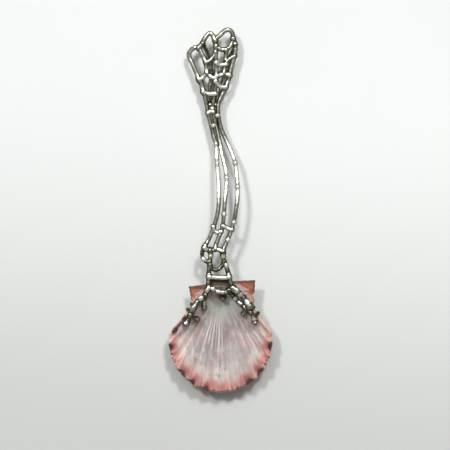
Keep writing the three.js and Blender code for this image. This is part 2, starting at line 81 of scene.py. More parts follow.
# Shader maths: a Shade wraps a socket, and adding, multiplying and so on adds Math nodes
class Shade:
    def __init__(self, tree, socket=None):
        self.tree = tree
        self.socket = socket

    def add(self, kind, settings=None, sockets=None, out=0):
        node = self.tree.nodes.new(kind)
        for name, value in (settings or {}).items():
            setattr(node, name, value)
        for name, value in (sockets or {}).items():
            if isinstance(value, Shade):
                self.tree.links.new(value.socket, node.inputs[name])
            else:
                node.inputs[name].default_value = value
        return Shade(self.tree, node.outputs[out] if node.outputs else None)

    def math(self, operation, first, second=0.0, clamp=False):
        settings = {"operation": operation, "use_clamp": clamp}
        return self.add("ShaderNodeMath", settings, {0: first, 1: second})

    def __add__(self, other):
        return self.math("ADD", self, other)

    def __radd__(self, other):
        return self.math("ADD", other, self)

    def __sub__(self, other):
        return self.math("SUBTRACT", self, other)

    def __rsub__(self, other):
        return self.math("SUBTRACT", other, self)

    def __mul__(self, other):
        return self.math("MULTIPLY", self, other)

    def __rmul__(self, other):
        return self.math("MULTIPLY", other, self)

    def clamped(self):
        return self.math("ADD", self, 0.0, clamp=True)

    def between(self, low, high, start=0.0, end=1.0):  # smooth step from start to end
        settings = {"interpolation_type": "SMOOTHSTEP"}
        sockets = {"Value": self, "From Min": low, "From Max": high, "To Min": start, "To Max": end}
        return self.add("ShaderNodeMapRange", settings, sockets)

    def mix(self, first, second):  # colours, by this value
        settings = {"data_type": "RGBA", "clamp_factor": True}
        return self.add("ShaderNodeMix", settings, {0: self, 6: colour(first), 7: colour(second)}, out=2)

    def attribute(self, name):
        return self.add("ShaderNodeAttribute", {"attribute_name": name}, out="Fac")

    def speckle(self, vector, scale, detail=2.0, roughness=0.5, distortion=0.0):
        sockets = {"Vector": vector, "Scale": scale, "Detail": detail, "Roughness": roughness}
        sockets["Distortion"] = distortion
        return self.add("ShaderNodeTexNoise", None, sockets, out="Fac")

    def vector(self, x=0.0, y=0.0, z=0.0):
        return self.add("ShaderNodeCombineXYZ", None, {"X": x, "Y": y, "Z": z})


def colour(value):
    return value if isinstance(value, Shade) else (*value, 1.0)


def newFinish(name):
    material = bpy.data.materials.new(name)
    material.use_nodes = True
    tree = material.node_tree
    tree.nodes.clear()
    return material, Shade(tree)


def closeFinish(shade, sockets, bump=None):
    if bump:
        height, strength, depth = bump
        relief = {"Height": height, "Strength": strength, "Distance": depth}
        sockets["Normal"] = shade.add("ShaderNodeBump", None, relief)
    surface = shade.add("ShaderNodeBsdfPrincipled", None, sockets)
    shade.add("ShaderNodeOutputMaterial", None, {"Surface": surface})


def linked(name, data):
    made = bpy.data.objects.new(name, data)
    bpy.context.scene.collection.objects.link(made)
    return made


def newPiece(name, points, faces, finish, nodes):
    mesh = bpy.data.meshes.new(name)
    mesh.from_pydata([tuple(p) for p in points], [], [tuple(f) for f in faces])
    mesh.update()
    mesh.shade_smooth()
    return dress(linked(name, mesh), finish, nodes)


def dress(piece, finish, nodes):
    piece.data.materials.clear()
    piece.data.materials.append(finish)
    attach(piece, "root")
    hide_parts(*nodes)
    return piece


def store(mesh, name, values):
    layer = mesh.attributes.new(name, "FLOAT", "POINT")
    layer.data.foreach_set("value", np.asarray(values, np.float32))


def gridFaces(rows, columns):
    corners = [row * columns + column for row in range(rows - 1) for column in range(columns - 1)]
    return [(at, at + columns, at + columns + 1, at + 1) for at in corners]


def lumpMesh(subdivisions, radius, reshape):  # a ball whose points are moved one by one
    work = bmesh.new()
    bmesh.ops.create_icosphere(work, subdivisions=subdivisions, radius=radius)
    for vert in work.verts:
        reshape(vert)
    points = np.array([v.co for v in work.verts])
    faces = [tuple(v.index for v in f.verts) for f in work.faces]
    work.free()
    return points, faces


# The valve: a scallop shell lying hollow side up, with its two ears
valve = {
    "discRadius": 20.5,
    "beakToDiscCentre": 22.3,
    "discSpread": 62,  # degrees from the long axis, within which the margin can lie on the disc
    "shoulder": (4.6, 5.5),  # left, right half width of the hinge
    "shoulderAngle": 38,
    "shoulderBlend": 4.4,
    "bowlDepth": 8.6,
    "beakToDeepest": 19,
    "wall": 1.4,
    "ribCount": 15,
    "ribSpread": 104,
    "ribStart": (0.2, 0.62),  # this and each other start or end: shares of the reach that it takes
    "ribInside": 0.3,
    "ribOutside": 0.5,
    "ribInsideSeen": 0.11,  # the inner ribs are low and edged by fine lines, and rise near the margin
    "ribRiseStart": (0.72, 0.98),
    "ribLine": 0.05,
    "ribLineWidth": 0.3,
    "ribLineStart": (0.3, 0.5),
    "ribLineEnd": (0.75, 0.95),
    "riblets": 3,  # fine ribs on each rib, near the margin
    "ribletDepth": 0.06,
    "ribletPhase": 0.7,
    "ribletPast": 4,  # degrees that they go on past the outer ribs
    "ribletStart": (0.8, 1),
    "growthDepth": 0.07,  # growth ridges on the back
    "growthWaves": (46, 2.2, 9),  # how close they lie, how much they bunch and how often
    "growthStart": (0.25, 0.5),
    "backOut": 0.05,  # how much thicker the wall is made on the back
    "flute": 0.011,  # how far the ribs and the riblets wave the margin, as shares of its reach
    "ribletFlute": 0.0035,
    "fluteStart": (0.9, 1),
    "marginInset": 0.004,
    "slantGain": 0.9,  # the margin runs slanting at both sides, so its bumps are higher there
    "rimRound": 0.12,
    "hingeHeight": 10.1,
    "columnsPerRib": 14,
    "flankColumns": 26,
    "rows": 76,
    "rowCrowding": 0.8,  # under 1, so the rows lie closer towards the margin
    "firstRow": 0.015,  # share of the reach at which the rows start, next to the beak
    "rimRows": 4,
    "sharpAngle": 48,
    "pit": {"x": 0.4, "y": -3.6, "wide": 2.3, "tall": 1.9},  # the stain round the ligament
    "beakShade": {"y": -0.2, "tall": 1.3},
}
ears = {
    "wall": 1.1,
    "reach": (13.2, 14.4),  # left, right
    "fall": (7.8, 7.4),
    "rise": (0.0, 2.7),
    "leftBrow": 1.1,  # how far the left ear's top edge climbs towards the beak
    "hingeLip": (1.0, 3.6, 4.8),  # the lip behind the beak: its depth, and the half widths where it ends
    "hingeRoot": (0.16, 0.28),  # shares of the way down, between which the right ear leaves the hinge
    "hingeLow": 0.67,  # height of the hinge's left end, as a share of the rise
    "notch": (0.0, 0.9),
    "notchAt": (0.62, 0.09),  # share of the way down, and half its width
    "taper": (1.5, 0.5),
    "inset": 0.18,
    "chips": (0.09, 0.06),  # coarse and fine chips in the outer edge
    "chipRates": (31, 57),
    "topInset": 0.06,
    "topWave": 0.05,
    "topRate": 2.1,
    "sink": (0.15, 0.3),  # below the hinge's height, at the root and further at the edge, in walls
    "ridges": 6,
    "ridgeDepth": 0.03,
    "ridgeFan": 0.15,
    "ridgeStart": (0.1, 0.5),
    "steps": 44,
    "edgeSteps": 3,  # steps over which the edge is rounded
    "edgeRound": 0.7,
}
ribPitch = math.radians(valve["ribSpread"] / valve["ribCount"])
shoulderSlope = math.tan(math.radians(valve["shoulderAngle"]))


def marginReach(angle):
    angle = np.asarray(angle, float)
    side = np.abs(angle)
    disc, centre = valve["discRadius"], valve["beakToDiscCentre"]
    slope = np.sin(side) - np.cos(side) * shoulderSlope
    half = np.where(angle < 0, *valve["shoulder"])
    least, far = 0.02, 1e6  # a ray that runs along the shoulder meets it far away
    shoulder = np.where(slope > least, half / np.maximum(slope, least), far)
    sweep = centre * np.sin(side)
    onDisc = (side <= math.radians(valve["discSpread"])) & (sweep < disc)
    arc = centre * np.cos(side) + np.sqrt(np.maximum(disc**2 - sweep**2, 0))
    arc = np.where(onDisc, arc, far)
    soft = valve["shoulderBlend"]
    near = np.maximum(soft - np.abs(shoulder - arc), 0) / soft
    return np.minimum(shoulder, arc) - near**2 * soft / 4


outlineAngles = np.radians(np.arange(-90, 90.5, 1.0))
outlineX = np.sin(outlineAngles) * marginReach(outlineAngles)
outlineY = -np.cos(outlineAngles) * marginReach(outlineAngles)


def rimShare(x, y):  # share of the way from the deepest point to the outline
    x, y = np.broadcast_arrays(np.asarray(x, float), np.asarray(y, float))
    down = valve["beakToDeepest"]
    best = np.zeros(x.shape)
    for i in range(len(outlineX)):
        j = (i + 1) % len(outlineX)
        alongX, alongY = outlineX[j] - outlineX[i], outlineY[j] - outlineY[i]
        cross = outlineX[i] * alongY - (outlineY[i] + down) * alongX
        if abs(cross) > 1e-9:
            best = np.maximum(best, (x * alongY - (y + down) * alongX) / cross)
    return best


def domeHeight(x, y):
    return valve["hingeHeight"] - valve["bowlDepth"] * (1 - rimShare(x, y) ** 2)


def domeNormal(x, y):
    step = 0.25
    alongX = (domeHeight(x + step, y) - domeHeight(x - step, y)) / (2 * step)
    alongY = (domeHeight(x, y + step) - domeHeight(x, y - step)) / (2 * step)
    normal = np.stack([-alongX, -alongY, np.ones_like(alongX)], -1)
    return normal / np.linalg.norm(normal, axis=-1, keepdims=True)


def ribWave(angle, share):
    edge = math.radians(valve["ribSpread"] / 2)
    fade = smooth(*valve["ribStart"], share) * (1 - smooth(edge - ribPitch, edge, np.abs(angle)))
    return np.cos(2 * np.pi * angle / ribPitch) * fade


def discFace(side, angle, share):
    wave = ribWave(angle, share)
    fine = np.cos(2 * np.pi * valve["riblets"] * angle / ribPitch + valve["ribletPhase"])
    fine = fine * smooth(*valve["ribletStart"], share)
    fine = fine * (np.abs(angle) < math.radians(valve["ribSpread"] / 2 + valve["ribletPast"]))
    spread = 1 + valve["slantGain"] * np.abs(angle)
    bumps = valve["flute"] * wave * spread + valve["ribletFlute"] * fine
    flute = 1 + bumps * smooth(*valve["fluteStart"], share) - valve["marginInset"]
    reach = marginReach(angle) * share * flute
    x, y = np.sin(angle) * reach, -np.cos(angle) * reach
    normal = domeNormal(x, y)
    base = np.stack([x, y, domeHeight(x, y)], -1)
    if side > 0:
        line = np.exp(-((np.cos(2 * np.pi * angle / ribPitch) / valve["ribLineWidth"]) ** 2))
        line = line * smooth(*valve["ribLineStart"], share)
        rise = smooth(*valve["ribRiseStart"], share)
        lift = blendTo(valve["ribInsideSeen"], valve["ribInside"], rise) * wave
        lift = lift + valve["ribLine"] * line * (1 - smooth(*valve["ribLineEnd"], share))
        lift = lift + valve["ribletDepth"] * fine
    else:
        close, bunch, often = valve["growthWaves"]
        growth = np.sin(share * close + bunch * np.sin(share * often))
        growth = growth * smooth(*valve["growthStart"], share)
        lift = valve["ribOutside"] * wave - valve["wall"] + valve["ribletDepth"] * fine
        lift = lift + valve["growthDepth"] * growth - valve["backOut"]
    return base + normal * lift[..., None], normal


def discMesh():
    ribs = valve["ribCount"] * valve["columnsPerRib"]
    half = math.radians(valve["ribSpread"] / 2)
    flank = np.linspace(-math.pi / 2, -half, valve["flankColumns"], endpoint=False)
    angles = np.concatenate([flank, np.linspace(-half, half, ribs + 1), -flank[::-1]])
    first = valve["firstRow"]
    shares = first + (1 - first) * np.linspace(0, 1, valve["rows"]) ** valve["rowCrowding"]
    angleGrid, shareGrid = np.meshgrid(angles, shares)
    top, normal = discFace(1, angleGrid, shareGrid)
    under, _ = discFace(-1, angleGrid, shareGrid)
    # the margin is rounded from the inner face over to the back
    outward = np.stack([np.sin(angles), -np.cos(angles), np.zeros_like(angles)], -1)
    rimNormal = normal[-1]
    outward = outward - rimNormal * np.sum(outward * rimNormal, -1, keepdims=True)
    outward = outward / np.linalg.norm(outward, axis=-1, keepdims=True)
    rows = list(top)
    for step in range(1, valve["rimRows"] + 1):
        share = step / (valve["rimRows"] + 1)
        bulge = outward * valve["rimRound"] * math.sin(math.pi * share)
        rows.append(blendTo(top[-1], under[-1], share) + bulge)
    rows.extend(under[::-1])
    grid = np.array(rows)
    grid[..., 2] = np.maximum(grid[..., 2], 0)
    count, across = grid.shape[:2]
    faces = gridFaces(count, across)
    last = (count - 1) * across
    for column in range(across - 1):
        faces.append((column, column + 1, last + column + 1, last + column))
    for row in range((count - 1) // 2):  # the straight hinge edge, left and right of the beak
        mirror = count - 1 - row
        left = (row * across, mirror * across, (mirror - 1) * across, (row + 1) * across)
        faces.append(left if row + 1 != mirror - 1 else left[:3])
        right = tuple(at + across - 1 for at in left[::-1])
        faces.append(right if row + 1 != mirror - 1 else right[1:])
    return grid.reshape(-1, 3), faces


def earMesh(hand):  # hand 0 is the left ear, 1 the right
    side = (-1, 1)[hand]
    half, reach = valve["shoulder"][hand], ears["reach"][hand]
    fall, rise = ears["fall"][hand], ears["rise"][hand]
    steps = ears["steps"]
    out, down = np.meshgrid(np.linspace(0, 1, steps), np.linspace(0, 1, steps))
    inner = half + np.maximum(down * (rise + fall) - rise, 0) * shoulderSlope - ears["wall"] / 4
    if rise:  # the right ear carries the hinge line on behind the beak
        inner = blendTo(-valve["shoulder"][0], inner, smooth(*ears["hingeRoot"], down))
    notchAt, notchHalf = ears["notchAt"]
    notch = ears["notch"][hand] * np.exp(-(((down - notchAt) / notchHalf) ** 2))
    coarse, fine = ears["chips"]
    coarseRate, fineRate = ears["chipRates"]
    chips = coarse * np.sin(down * coarseRate) + fine * np.sin(down * fineRate + hand)
    outer = reach - notch - ears["taper"][hand] * down
    x = blendTo(inner, np.maximum(outer - ears["inset"] + chips, inner + ears["wall"]), out)
    left = valve["shoulder"][0]
    brow = rise * blendTo(ears["hingeLow"], 1, (x + left) / (reach + left))
    brow = brow - ears["topInset"] + ears["topWave"] * np.sin(x * ears["topRate"])
    if rise:
        lip, start, end = ears["hingeLip"]
        brow = brow + lip * (1 - smooth(start, end, np.abs(x)))
    else:
        brow = brow + ears["leftBrow"] * (1 - (x - half) / (reach - half))
    y = blendTo(brow, -fall + 0 * x, down)
    atRoot, further = ears["sink"]
    level = valve["hingeHeight"] - ears["wall"] * (atRoot + further * out)
    fan = (down - ears["ridgeFan"] * (1 - out)) * ears["ridges"] * 2 * np.pi
    level = level + ears["ridgeDepth"] * np.cos(fan) * smooth(*ears["ridgeStart"], out)
    edge = np.minimum.reduce([1 - out, down, 1 - down]) * (steps - 1)
    thin = ears["wall"] / 2 * (1 - np.sqrt(np.clip(edge / ears["edgeSteps"], 0, 1))) * ears["edgeRound"]
    top = np.stack([side * x, y, level - thin], -1).reshape(-1, 3)
    under = np.stack([side * x, y, level - ears["wall"] + thin], -1).reshape(-1, 3)
    layer = steps * steps
    faces = []
    for face in gridFaces(steps, steps):
        faces.append(face)
        faces.append(tuple(layer + i for i in face[::-1]))
    rim = list(range(steps))
    rim += [row * steps + steps - 1 for row in range(1, steps)]
    rim += [layer - 1 - i for i in range(1, steps)]
    rim += [row * steps for row in range(steps - 2, 0, -1)]
    for i, at in enumerate(rim):
        following = rim[(i + 1) % len(rim)]
        faces.append((at, following, layer + following, layer + at))
    if side < 0:
        faces = [face[::-1] for face in faces]
    return np.concatenate([top, under]), faces


# Dark marks that hug the margin: angle in degrees, strength, half length and depth in mm
rimMarks = [
    (-48.6, 0.9, 1.6, 0.7), (-47.2, 0.8, 1.0, 0.6), (-46.0, 0.95, 2.2, 0.7), (-39.3, 1.0, 1.7, 0.7),
    (-35.6, 0.6, 0.8, 0.7), (-31.0, 0.5, 0.6, 0.5), (-23.9, 1.0, 2.3, 0.85), (-16.4, 1.0, 1.5, 0.95),
    (-8.2, 1.0, 1.6, 0.9), (0.4, 0.45, 1.3, 0.6), (6.6, 0.55, 0.6, 0.6), (9.3, 0.6, 0.7, 0.6),
    (12.6, 0.5, 0.5, 0.5), (16.9, 1.0, 2.3, 0.95), (25.1, 1.0, 1.9, 0.9), (29.6, 0.65, 0.7, 0.6),
    (34.0, 0.5, 0.5, 0.5), (39.9, 1.0, 2.2, 0.8), (45.4, 0.5, 0.9, 0.6),
]
markShape = {
    "height": 1.5,
    "cut": 0.25,  # what is taken off, so that a mark ends
    "overRim": 0.1,  # it lies over the rounded rim
    "depthGain": 1.45,
    "flareWidth": 1.15,
    "flareDepth": 2.2,
}


def marginPoint(turn):
    return np.array([math.sin(turn), -math.cos(turn)]) * float(marginReach(turn))


def rimMark(x, y):  # over 0 within a mark; and the flare of darker pink that runs in from each of them
    mark, flare = np.full_like(x, -2.0), np.zeros_like(x)
    for middle, strength, half, depth in rimMarks:
        turn = math.radians(middle)
        before, edge, after = (marginPoint(t) for t in (turn - 0.02, turn, turn + 0.02))
        along = (after - before) / np.linalg.norm(after - before)
        sideways = (x - edge[0]) * along[0] + (y - edge[1]) * along[1]
        inward = (edge[0] - x) * along[1] + (y - edge[1]) * along[0]
        length = markShape["height"] * strength * np.exp(-((sideways / half) ** 2)) - markShape["cut"]
        deep = np.abs(inward + markShape["overRim"]) / (markShape["depthGain"] * depth)
        mark = np.maximum(mark, length - deep)
        wide = (sideways / (half * markShape["flareWidth"])) ** 2
        far = (np.maximum(inward, 0) / (markShape["flareDepth"] + half)) ** 2
        flare = np.maximum(flare, math.sqrt(strength) * np.exp(-wide - far))
    return mark, flare


def plainMesh(name, points, faces):
    mesh = bpy.data.meshes.new(name)
    mesh.from_pydata([tuple(p) for p in toRow(points)], [], faces)
    work = bmesh.new()
    work.from_mesh(mesh)
    bmesh.ops.recalc_face_normals(work, faces=work.faces)
    work.to_mesh(mesh)
    work.free()
    return linked(name, mesh)


shellTones = {  # a pair is mixed by noise
    "lilac": ((0.355, 0.295, 0.315), (0.47, 0.40, 0.395)),  # middle of the bowl
    "lilacBlush": (0.52, 0.36, 0.345),
    "lilacPale": (0.55, 0.52, 0.51),
    "lilacDeep": (0.31, 0.255, 0.285),
    "paleLine": (0.66, 0.63, 0.62),
    "groove": (0.32, 0.26, 0.275),
    "hinge": ((0.48, 0.485, 0.44), (0.58, 0.605, 0.58)),
    "cream": ((0.50, 0.43, 0.41), (0.66, 0.61, 0.57)),
    "coral": ((0.66, 0.37, 0.33), (0.53, 0.24, 0.225)),  # margin
    "orange": (0.54, 0.19, 0.11),
    "rose": (0.57, 0.24, 0.215),
    "peach": (0.70, 0.53, 0.48),
    "lowRim": (0.42, 0.18, 0.165),
    "flare": (0.34, 0.12, 0.125),
    "halo": (0.25, 0.055, 0.06),
    "rimLine": (0.64, 0.53, 0.43),
    "maroon": ((0.045, 0.03, 0.026), (0.14, 0.055, 0.05)),  # the marks
    "glint": (0.8, 0.79, 0.775),
    "wall": (0.76, 0.70, 0.63),
    "shoulder": (0.66, 0.47, 0.42),
    "stain": (0.5, 0.37, 0.2),
    "beak": (0.22, 0.185, 0.14),
    "beakShade": (0.2, 0.14, 0.1),
    "pit": (0.15, 0.115, 0.075),
    "backBands": ((0.62, 0.47, 0.40), (0.42, 0.17, 0.145)),
    "backFreckle": (0.17, 0.055, 0.05),
    "backGroove": (0.66, 0.54, 0.47),
    "backBeak": (0.66, 0.58, 0.53),
    "ear": ((0.22, 0.05, 0.034), (0.42, 0.13, 0.085)),
    "earLeft": (0.43, 0.17, 0.075),
    "earLow": (0.58, 0.31, 0.25),
    "earRoot": (0.56, 0.39, 0.385),
    "earEdge": (0.115, 0.05, 0.034),
    "hingeShadow": ((0.05, 0.034, 0.022), (0.13, 0.093, 0.066)),  # painted shadow: the dark strip behind the beak, under the clasp's bars
}


def shellGrain(shade, angle, share, inner):  # noise drawn out along the ribs
    fan = shade.vector(angle * 0.075, share * 3.0, inner * 3)
    return {
        "streak": shade.speckle(shade.vector(angle * 0.25, share * 1.6, 2.0), 1.0, 3.0, 0.55, 0.2),
        "fine": shade.speckle(shade.vector(angle * 0.5, share * 3.0, 5.0), 1.0, 2.0, 0.55, 0.3),
        "cloud": shade.speckle(fan, 1.5, 3.0, 0.55, 0.5),
        "blotch": shade.speckle(shade.vector(angle * 0.16, share * 9.0, 9.0), 1.0, 3.0, 0.6, 0.7),
        "blush": shade.speckle(shade.vector(angle * 0.11, share * 7.0, 17.0), 1.0, 3.0, 0.6, 0.8),
    }


def bowlTone(angle, share, crest, grain):  # mottled lilac with pale lines, grey under the hinge
    tones, streak, fine = shellTones, grain["streak"], grain["fine"]
    cloud, blotch, blush = grain["cloud"], grain["blotch"], grain["blush"]
    drift = grain["drift"]
    middle = cloud.between(0.4, 0.6).mix(*tones["lilac"])
    middle = (blush.between(0.47, 0.6) * 0.7).mix(middle, tones["lilacBlush"])
    middle = (blotch.between(0.5, 0.62) * 0.65).mix(middle, tones["lilacPale"])
    middle = (blotch.between(0.46, 0.36) * 0.6).mix(middle, tones["lilacDeep"])
    pale = (grain["ribEdge"] * streak.between(0.4, 0.56) * share.between(0.24, 0.34) * 0.5).clamped()
    middle = (pale * share.between(0.5, 0.8)).mix(middle, tones["paleLine"])
    groove = (1 - crest).between(0.6, 1.0) * fine.between(0.42, 0.62) * 0.45
    middle = groove.mix(middle, tones["groove"])
    hinge = cloud.between(0.4, 0.6).mix(*tones["hinge"])
    tone = drift.between(0.2, 0.42).mix(hinge, middle)
    cream = streak.between(0.38, 0.62).mix(*tones["cream"])
    flame = (drift + (blotch - 0.5) * 0.4).between(0.77, 0.88)
    flame = flame * angle.between(40, 20) * angle.between(-42, -22)
    return (flame * 0.85).mix(tone, cream)


def marginTone(shade, tone, angle, share, grain):  # pink, orange at both sides, deep red at the marks
    tones, streak, fine = shellTones, grain["streak"], grain["fine"]
    blotch, drift = grain["blotch"], grain["drift"]
    flare = shade.attribute("rimFlare")
    coral = streak.between(0.4, 0.6).mix(*tones["coral"])
    flanks = angle.between(-22, -33) + angle.between(24, 35)
    coral = (blotch.between(0.46, 0.6) * flanks * 0.85).mix(coral, tones["orange"])
    coral = (blotch.between(0.5, 0.64) * (1 - flanks) * 0.7).mix(coral, tones["rose"])
    coral = fine.between(0.5, 0.64).mix(coral, tones["peach"])
    side = angle.between(14, 40) + angle.between(-14, -40)  # the pink comes further in at both sides
    reachIn = drift + (fine - 0.5) * 0.3 + (blotch - 0.5) * 0.12 + side * 0.03 + flare * 0.05
    tone = (reachIn.between(0.86, 0.95) * 0.95).mix(tone, coral)
    low = angle.between(-34, -22) * angle.between(30, 18)
    lowRim = share.between(0.9, 0.985) * low * fine.between(0.6, 0.4, 0.2, 0.65)
    tone = lowRim.mix(tone, tones["lowRim"])
    tone = (flare * fine.between(0.34, 0.56, 0.5, 0.95)).mix(tone, tones["flare"])
    halo = flare.between(0.4, 0.95) * fine.between(0.3, 0.6, 0.6, 1.0)
    tone = (halo * 0.85).mix(tone, tones["halo"])
    return (share.between(0.975, 0.995) * fine.between(0.45, 0.6) * 0.5).mix(tone, tones["rimLine"])


def wallTone(shade, tone, angle, share, grain):  # paler walls with painted light, the middle painted darker, painted rib glints, stains and darker at the beak
    tones, streak, fine = shellTones, grain["streak"], grain["fine"]
    cloud, blotch, drift = grain["cloud"], grain["blotch"], grain["drift"]
    # painted shade darkens the middle of the bowl, and painted light lifts the side walls
    core = angle.between(-16, -5) * angle.between(18, 5)
    core = core * share.between(0.34, 0.44) * share.between(0.8, 0.68)
    walls = angle.between(-10, -40) * 0.5 + angle.between(16, 42) * 0.32
    paintedLightGain = 1 + walls * share.between(0.86, 0.95, 1.0, 0.55) - core * 0.18
    tone = shade.add("ShaderNodeVectorMath", {"operation": "SCALE"}, {0: tone, "Scale": paintedLightGain})
    # painted highlights: glints along the edges of the ribs
    glint = grain["ribEdge"] * fine.between(0.36, 0.54) * angle.between(-24, -15) * angle.between(8, -5)
    glint = (glint * drift.between(0.28, 0.37) * drift.between(0.62, 0.5)).clamped()
    tone = (glint * 0.95).mix(tone, tones["glint"])
    wall = angle.between(36, 46) + angle.between(-26, -37)
    wall = wall * share.between(0.4, 0.6) * share.between(0.93, 0.84)
    tone = (wall * streak.between(0.3, 0.6, 0.85, 0.45)).mix(tone, tones["wall"])
    shoulder = (angle.between(42, 46) + angle.between(-42, -46)) * share.between(0.86, 0.96)
    tone = (shoulder * blotch.between(0.35, 0.6, 0.9, 0.55)).mix(tone, tones["shoulder"])
    stain = angle.between(-82, -60) * angle.between(-20, -48) * share.between(0.75, 0.3)
    tone = (stain * cloud.between(0.3, 0.6, 0.5, 0.9)).mix(tone, tones["stain"])
    tone = (share.between(0.17, 0.05) * 0.6).mix(tone, tones["beak"])
    tone = (shade.attribute("beakShade") * 0.8).mix(tone, tones["beakShade"])
    pit = shade.attribute("pitStain") + (blotch - 0.5) * 0.6
    return pit.between(0.08, 0.75).mix(tone, tones["pit"])


def backTone(shade, angle, share, crest):  # growth bands of cream, pink and maroon, paler in the grooves
    tones = shellTones
    bands = shade.speckle(shade.vector(angle * 0.02, share * 9.0, 12.0), 1.0, 2.0, 0.6)
    freckle = shade.speckle(shade.vector(angle * 0.3, share * 14.0, 15.0), 1.0, 3.0, 0.6, 0.5)
    back = bands.between(0.35, 0.65).mix(*tones["backBands"])
    back = (freckle.between(0.52, 0.66) * 0.85).mix(back, tones["backFreckle"])
    back = ((1 - crest) * 0.5).mix(back, tones["backGroove"])
    return share.between(0.1, 0.3, 0.7, 0.0).mix(back, tones["backBeak"])


def earTone(shade, angle):  # brick red, more orange on the left, with a pale root, dark brown edges and a painted shadow behind the beak
    tones = shellTones
    out, down = shade.attribute("earOut"), shade.attribute("earDown")
    lines = shade.speckle(shade.vector(out * 4.0, down * 6.0 - out * 3.0, 21.0), 1.0, 3.0, 0.6, 0.6)
    patch = shade.speckle(shade.vector(out * 2.0 + down * 1.5, down * 4.0, 27.0), 1.0, 3.0, 0.6, 0.3)
    ray = shade.speckle(shade.vector(down * 9.0 - out * 3.0, out * 1.2, 33.0), 1.0, 2.0, 0.6)
    ear = lines.between(0.38, 0.62).mix(*tones["ear"])
    ear = (angle.between(5, -5) * lines.between(0.4, 0.6, 0.3, 0.9)).mix(ear, tones["earLeft"])
    ear = (down.between(0.42, 0.8) * 0.75).mix(ear, tones["earLow"])
    root = out + (patch - 0.5) * 0.7 + (ray - 0.5) * 0.9 + down.between(0.36, 0.12) * 0.4
    ear = (root.between(0.74, 0.26) * 0.85).mix(ear, tones["earRoot"])
    edge = out.between(0.82, 0.95) + down.between(0.2, 0.06)
    ear = ((edge + (lines - 0.5) * 0.8).between(0.2, 0.75) * 0.9).mix(ear, tones["earEdge"])
    # painted shadow on the strip behind the beak, under the clasp's bars
    window = patch.between(0.4, 0.6).mix(*tones["hingeShadow"])
    return shade.attribute("hingeShadowMask").mix(ear, window)


def shellFinish():
    material, shade = newFinish("scallop nacre")
    angle = shade.attribute("fanAngle")  # degrees from the long axis, + to the right
    share = shade.attribute("fanShare")  # 0 at the beak, 1 at the margin
    inner = shade.attribute("innerFace")
    onEar = shade.attribute("onEar")
    place = shade.add("ShaderNodeTexCoord", out="Object")
    turn = angle * (2 * math.pi / math.degrees(ribPitch))
    crest = shade.math("COSINE", turn) * 0.5 + 0.5  # 1 on a rib, 0 in a groove
    grain = shellGrain(shade, angle, share, inner)
    grain["drift"] = share + (grain["streak"] - 0.5) * 0.12 + (grain["cloud"] - 0.5) * 0.12
    grain["ribEdge"] = (1 - crest * (1 - crest) * 4).between(0.55, 0.05)  # on both sides of each rib

    tone = bowlTone(angle, share, crest, grain)
    tone = marginTone(shade, tone, angle, share, grain)
    tone = wallTone(shade, tone, angle, share, grain)
    onInside = shade.math("MAXIMUM", inner, share.between(0.965, 0.985))
    tone = onInside.mix(backTone(shade, angle, share, crest), tone)
    ragged = shade.speckle(place, 1100.0, 2.0, 0.6, 0.4)
    maroon = ragged.between(0.42, 0.6).mix(*shellTones["maroon"])
    mark = shade.attribute("rimMark") + (ragged - 0.5) * 1.6
    tone = mark.between(0.0, 0.4).mix(tone, maroon)
    tone = onEar.mix(tone, earTone(shade, angle))

    pores = shade.speckle(place, 900.0, 3.0, 0.6)
    gloss = 0.34 + grain["cloud"] * 0.14 + (1 - inner) * 0.22 + onEar * 0.12
    height = pores * 0.6 + grain["fine"] * 0.4
    sockets = {
        "Base Color": tone, "Roughness": gloss, "Specular IOR Level": 0.3,
        "Subsurface Weight": 0.08, "Subsurface Scale": 0.0012, "Subsurface Radius": (1.0, 0.6, 0.5),
        "Coat Weight": 0.06, "Coat Roughness": 0.2,
    }
    closeFinish(shade, sockets, (height, 0.35, 0.00025))
    return material


def unite(whole, *others):
    for other in others:
        join = whole.modifiers.new(other.name, "BOOLEAN")
        join.operation = "UNION"
        join.solver = "EXACT"
        join.object = other
    graph = bpy.context.evaluated_depsgraph_get()
    made = bpy.data.meshes.new_from_object(whole.evaluated_get(graph), depsgraph=graph)
    assert len(made.polygons) > len(whole.data.polygons), "the union lost a part of the shell"
    whole.modifiers.clear()
    whole.data = made
    for other in others:
        bpy.data.objects.remove(other)
    return whole


shellZones = {  # millimetres over which one zone of the shell passes into the next
    "earRoot": (0.0, 0.5),
    "earBelow": 0.6,
    "hingeDown": (-0.4, 0.0),
    "hingeSide": (0.6, -0.2),
    "hingeTop": (0.0, 0.3),
    "beakSide": (0.5, -0.8),
    "faces": (-0.25, 0.25),  # from the back to the inner face
}


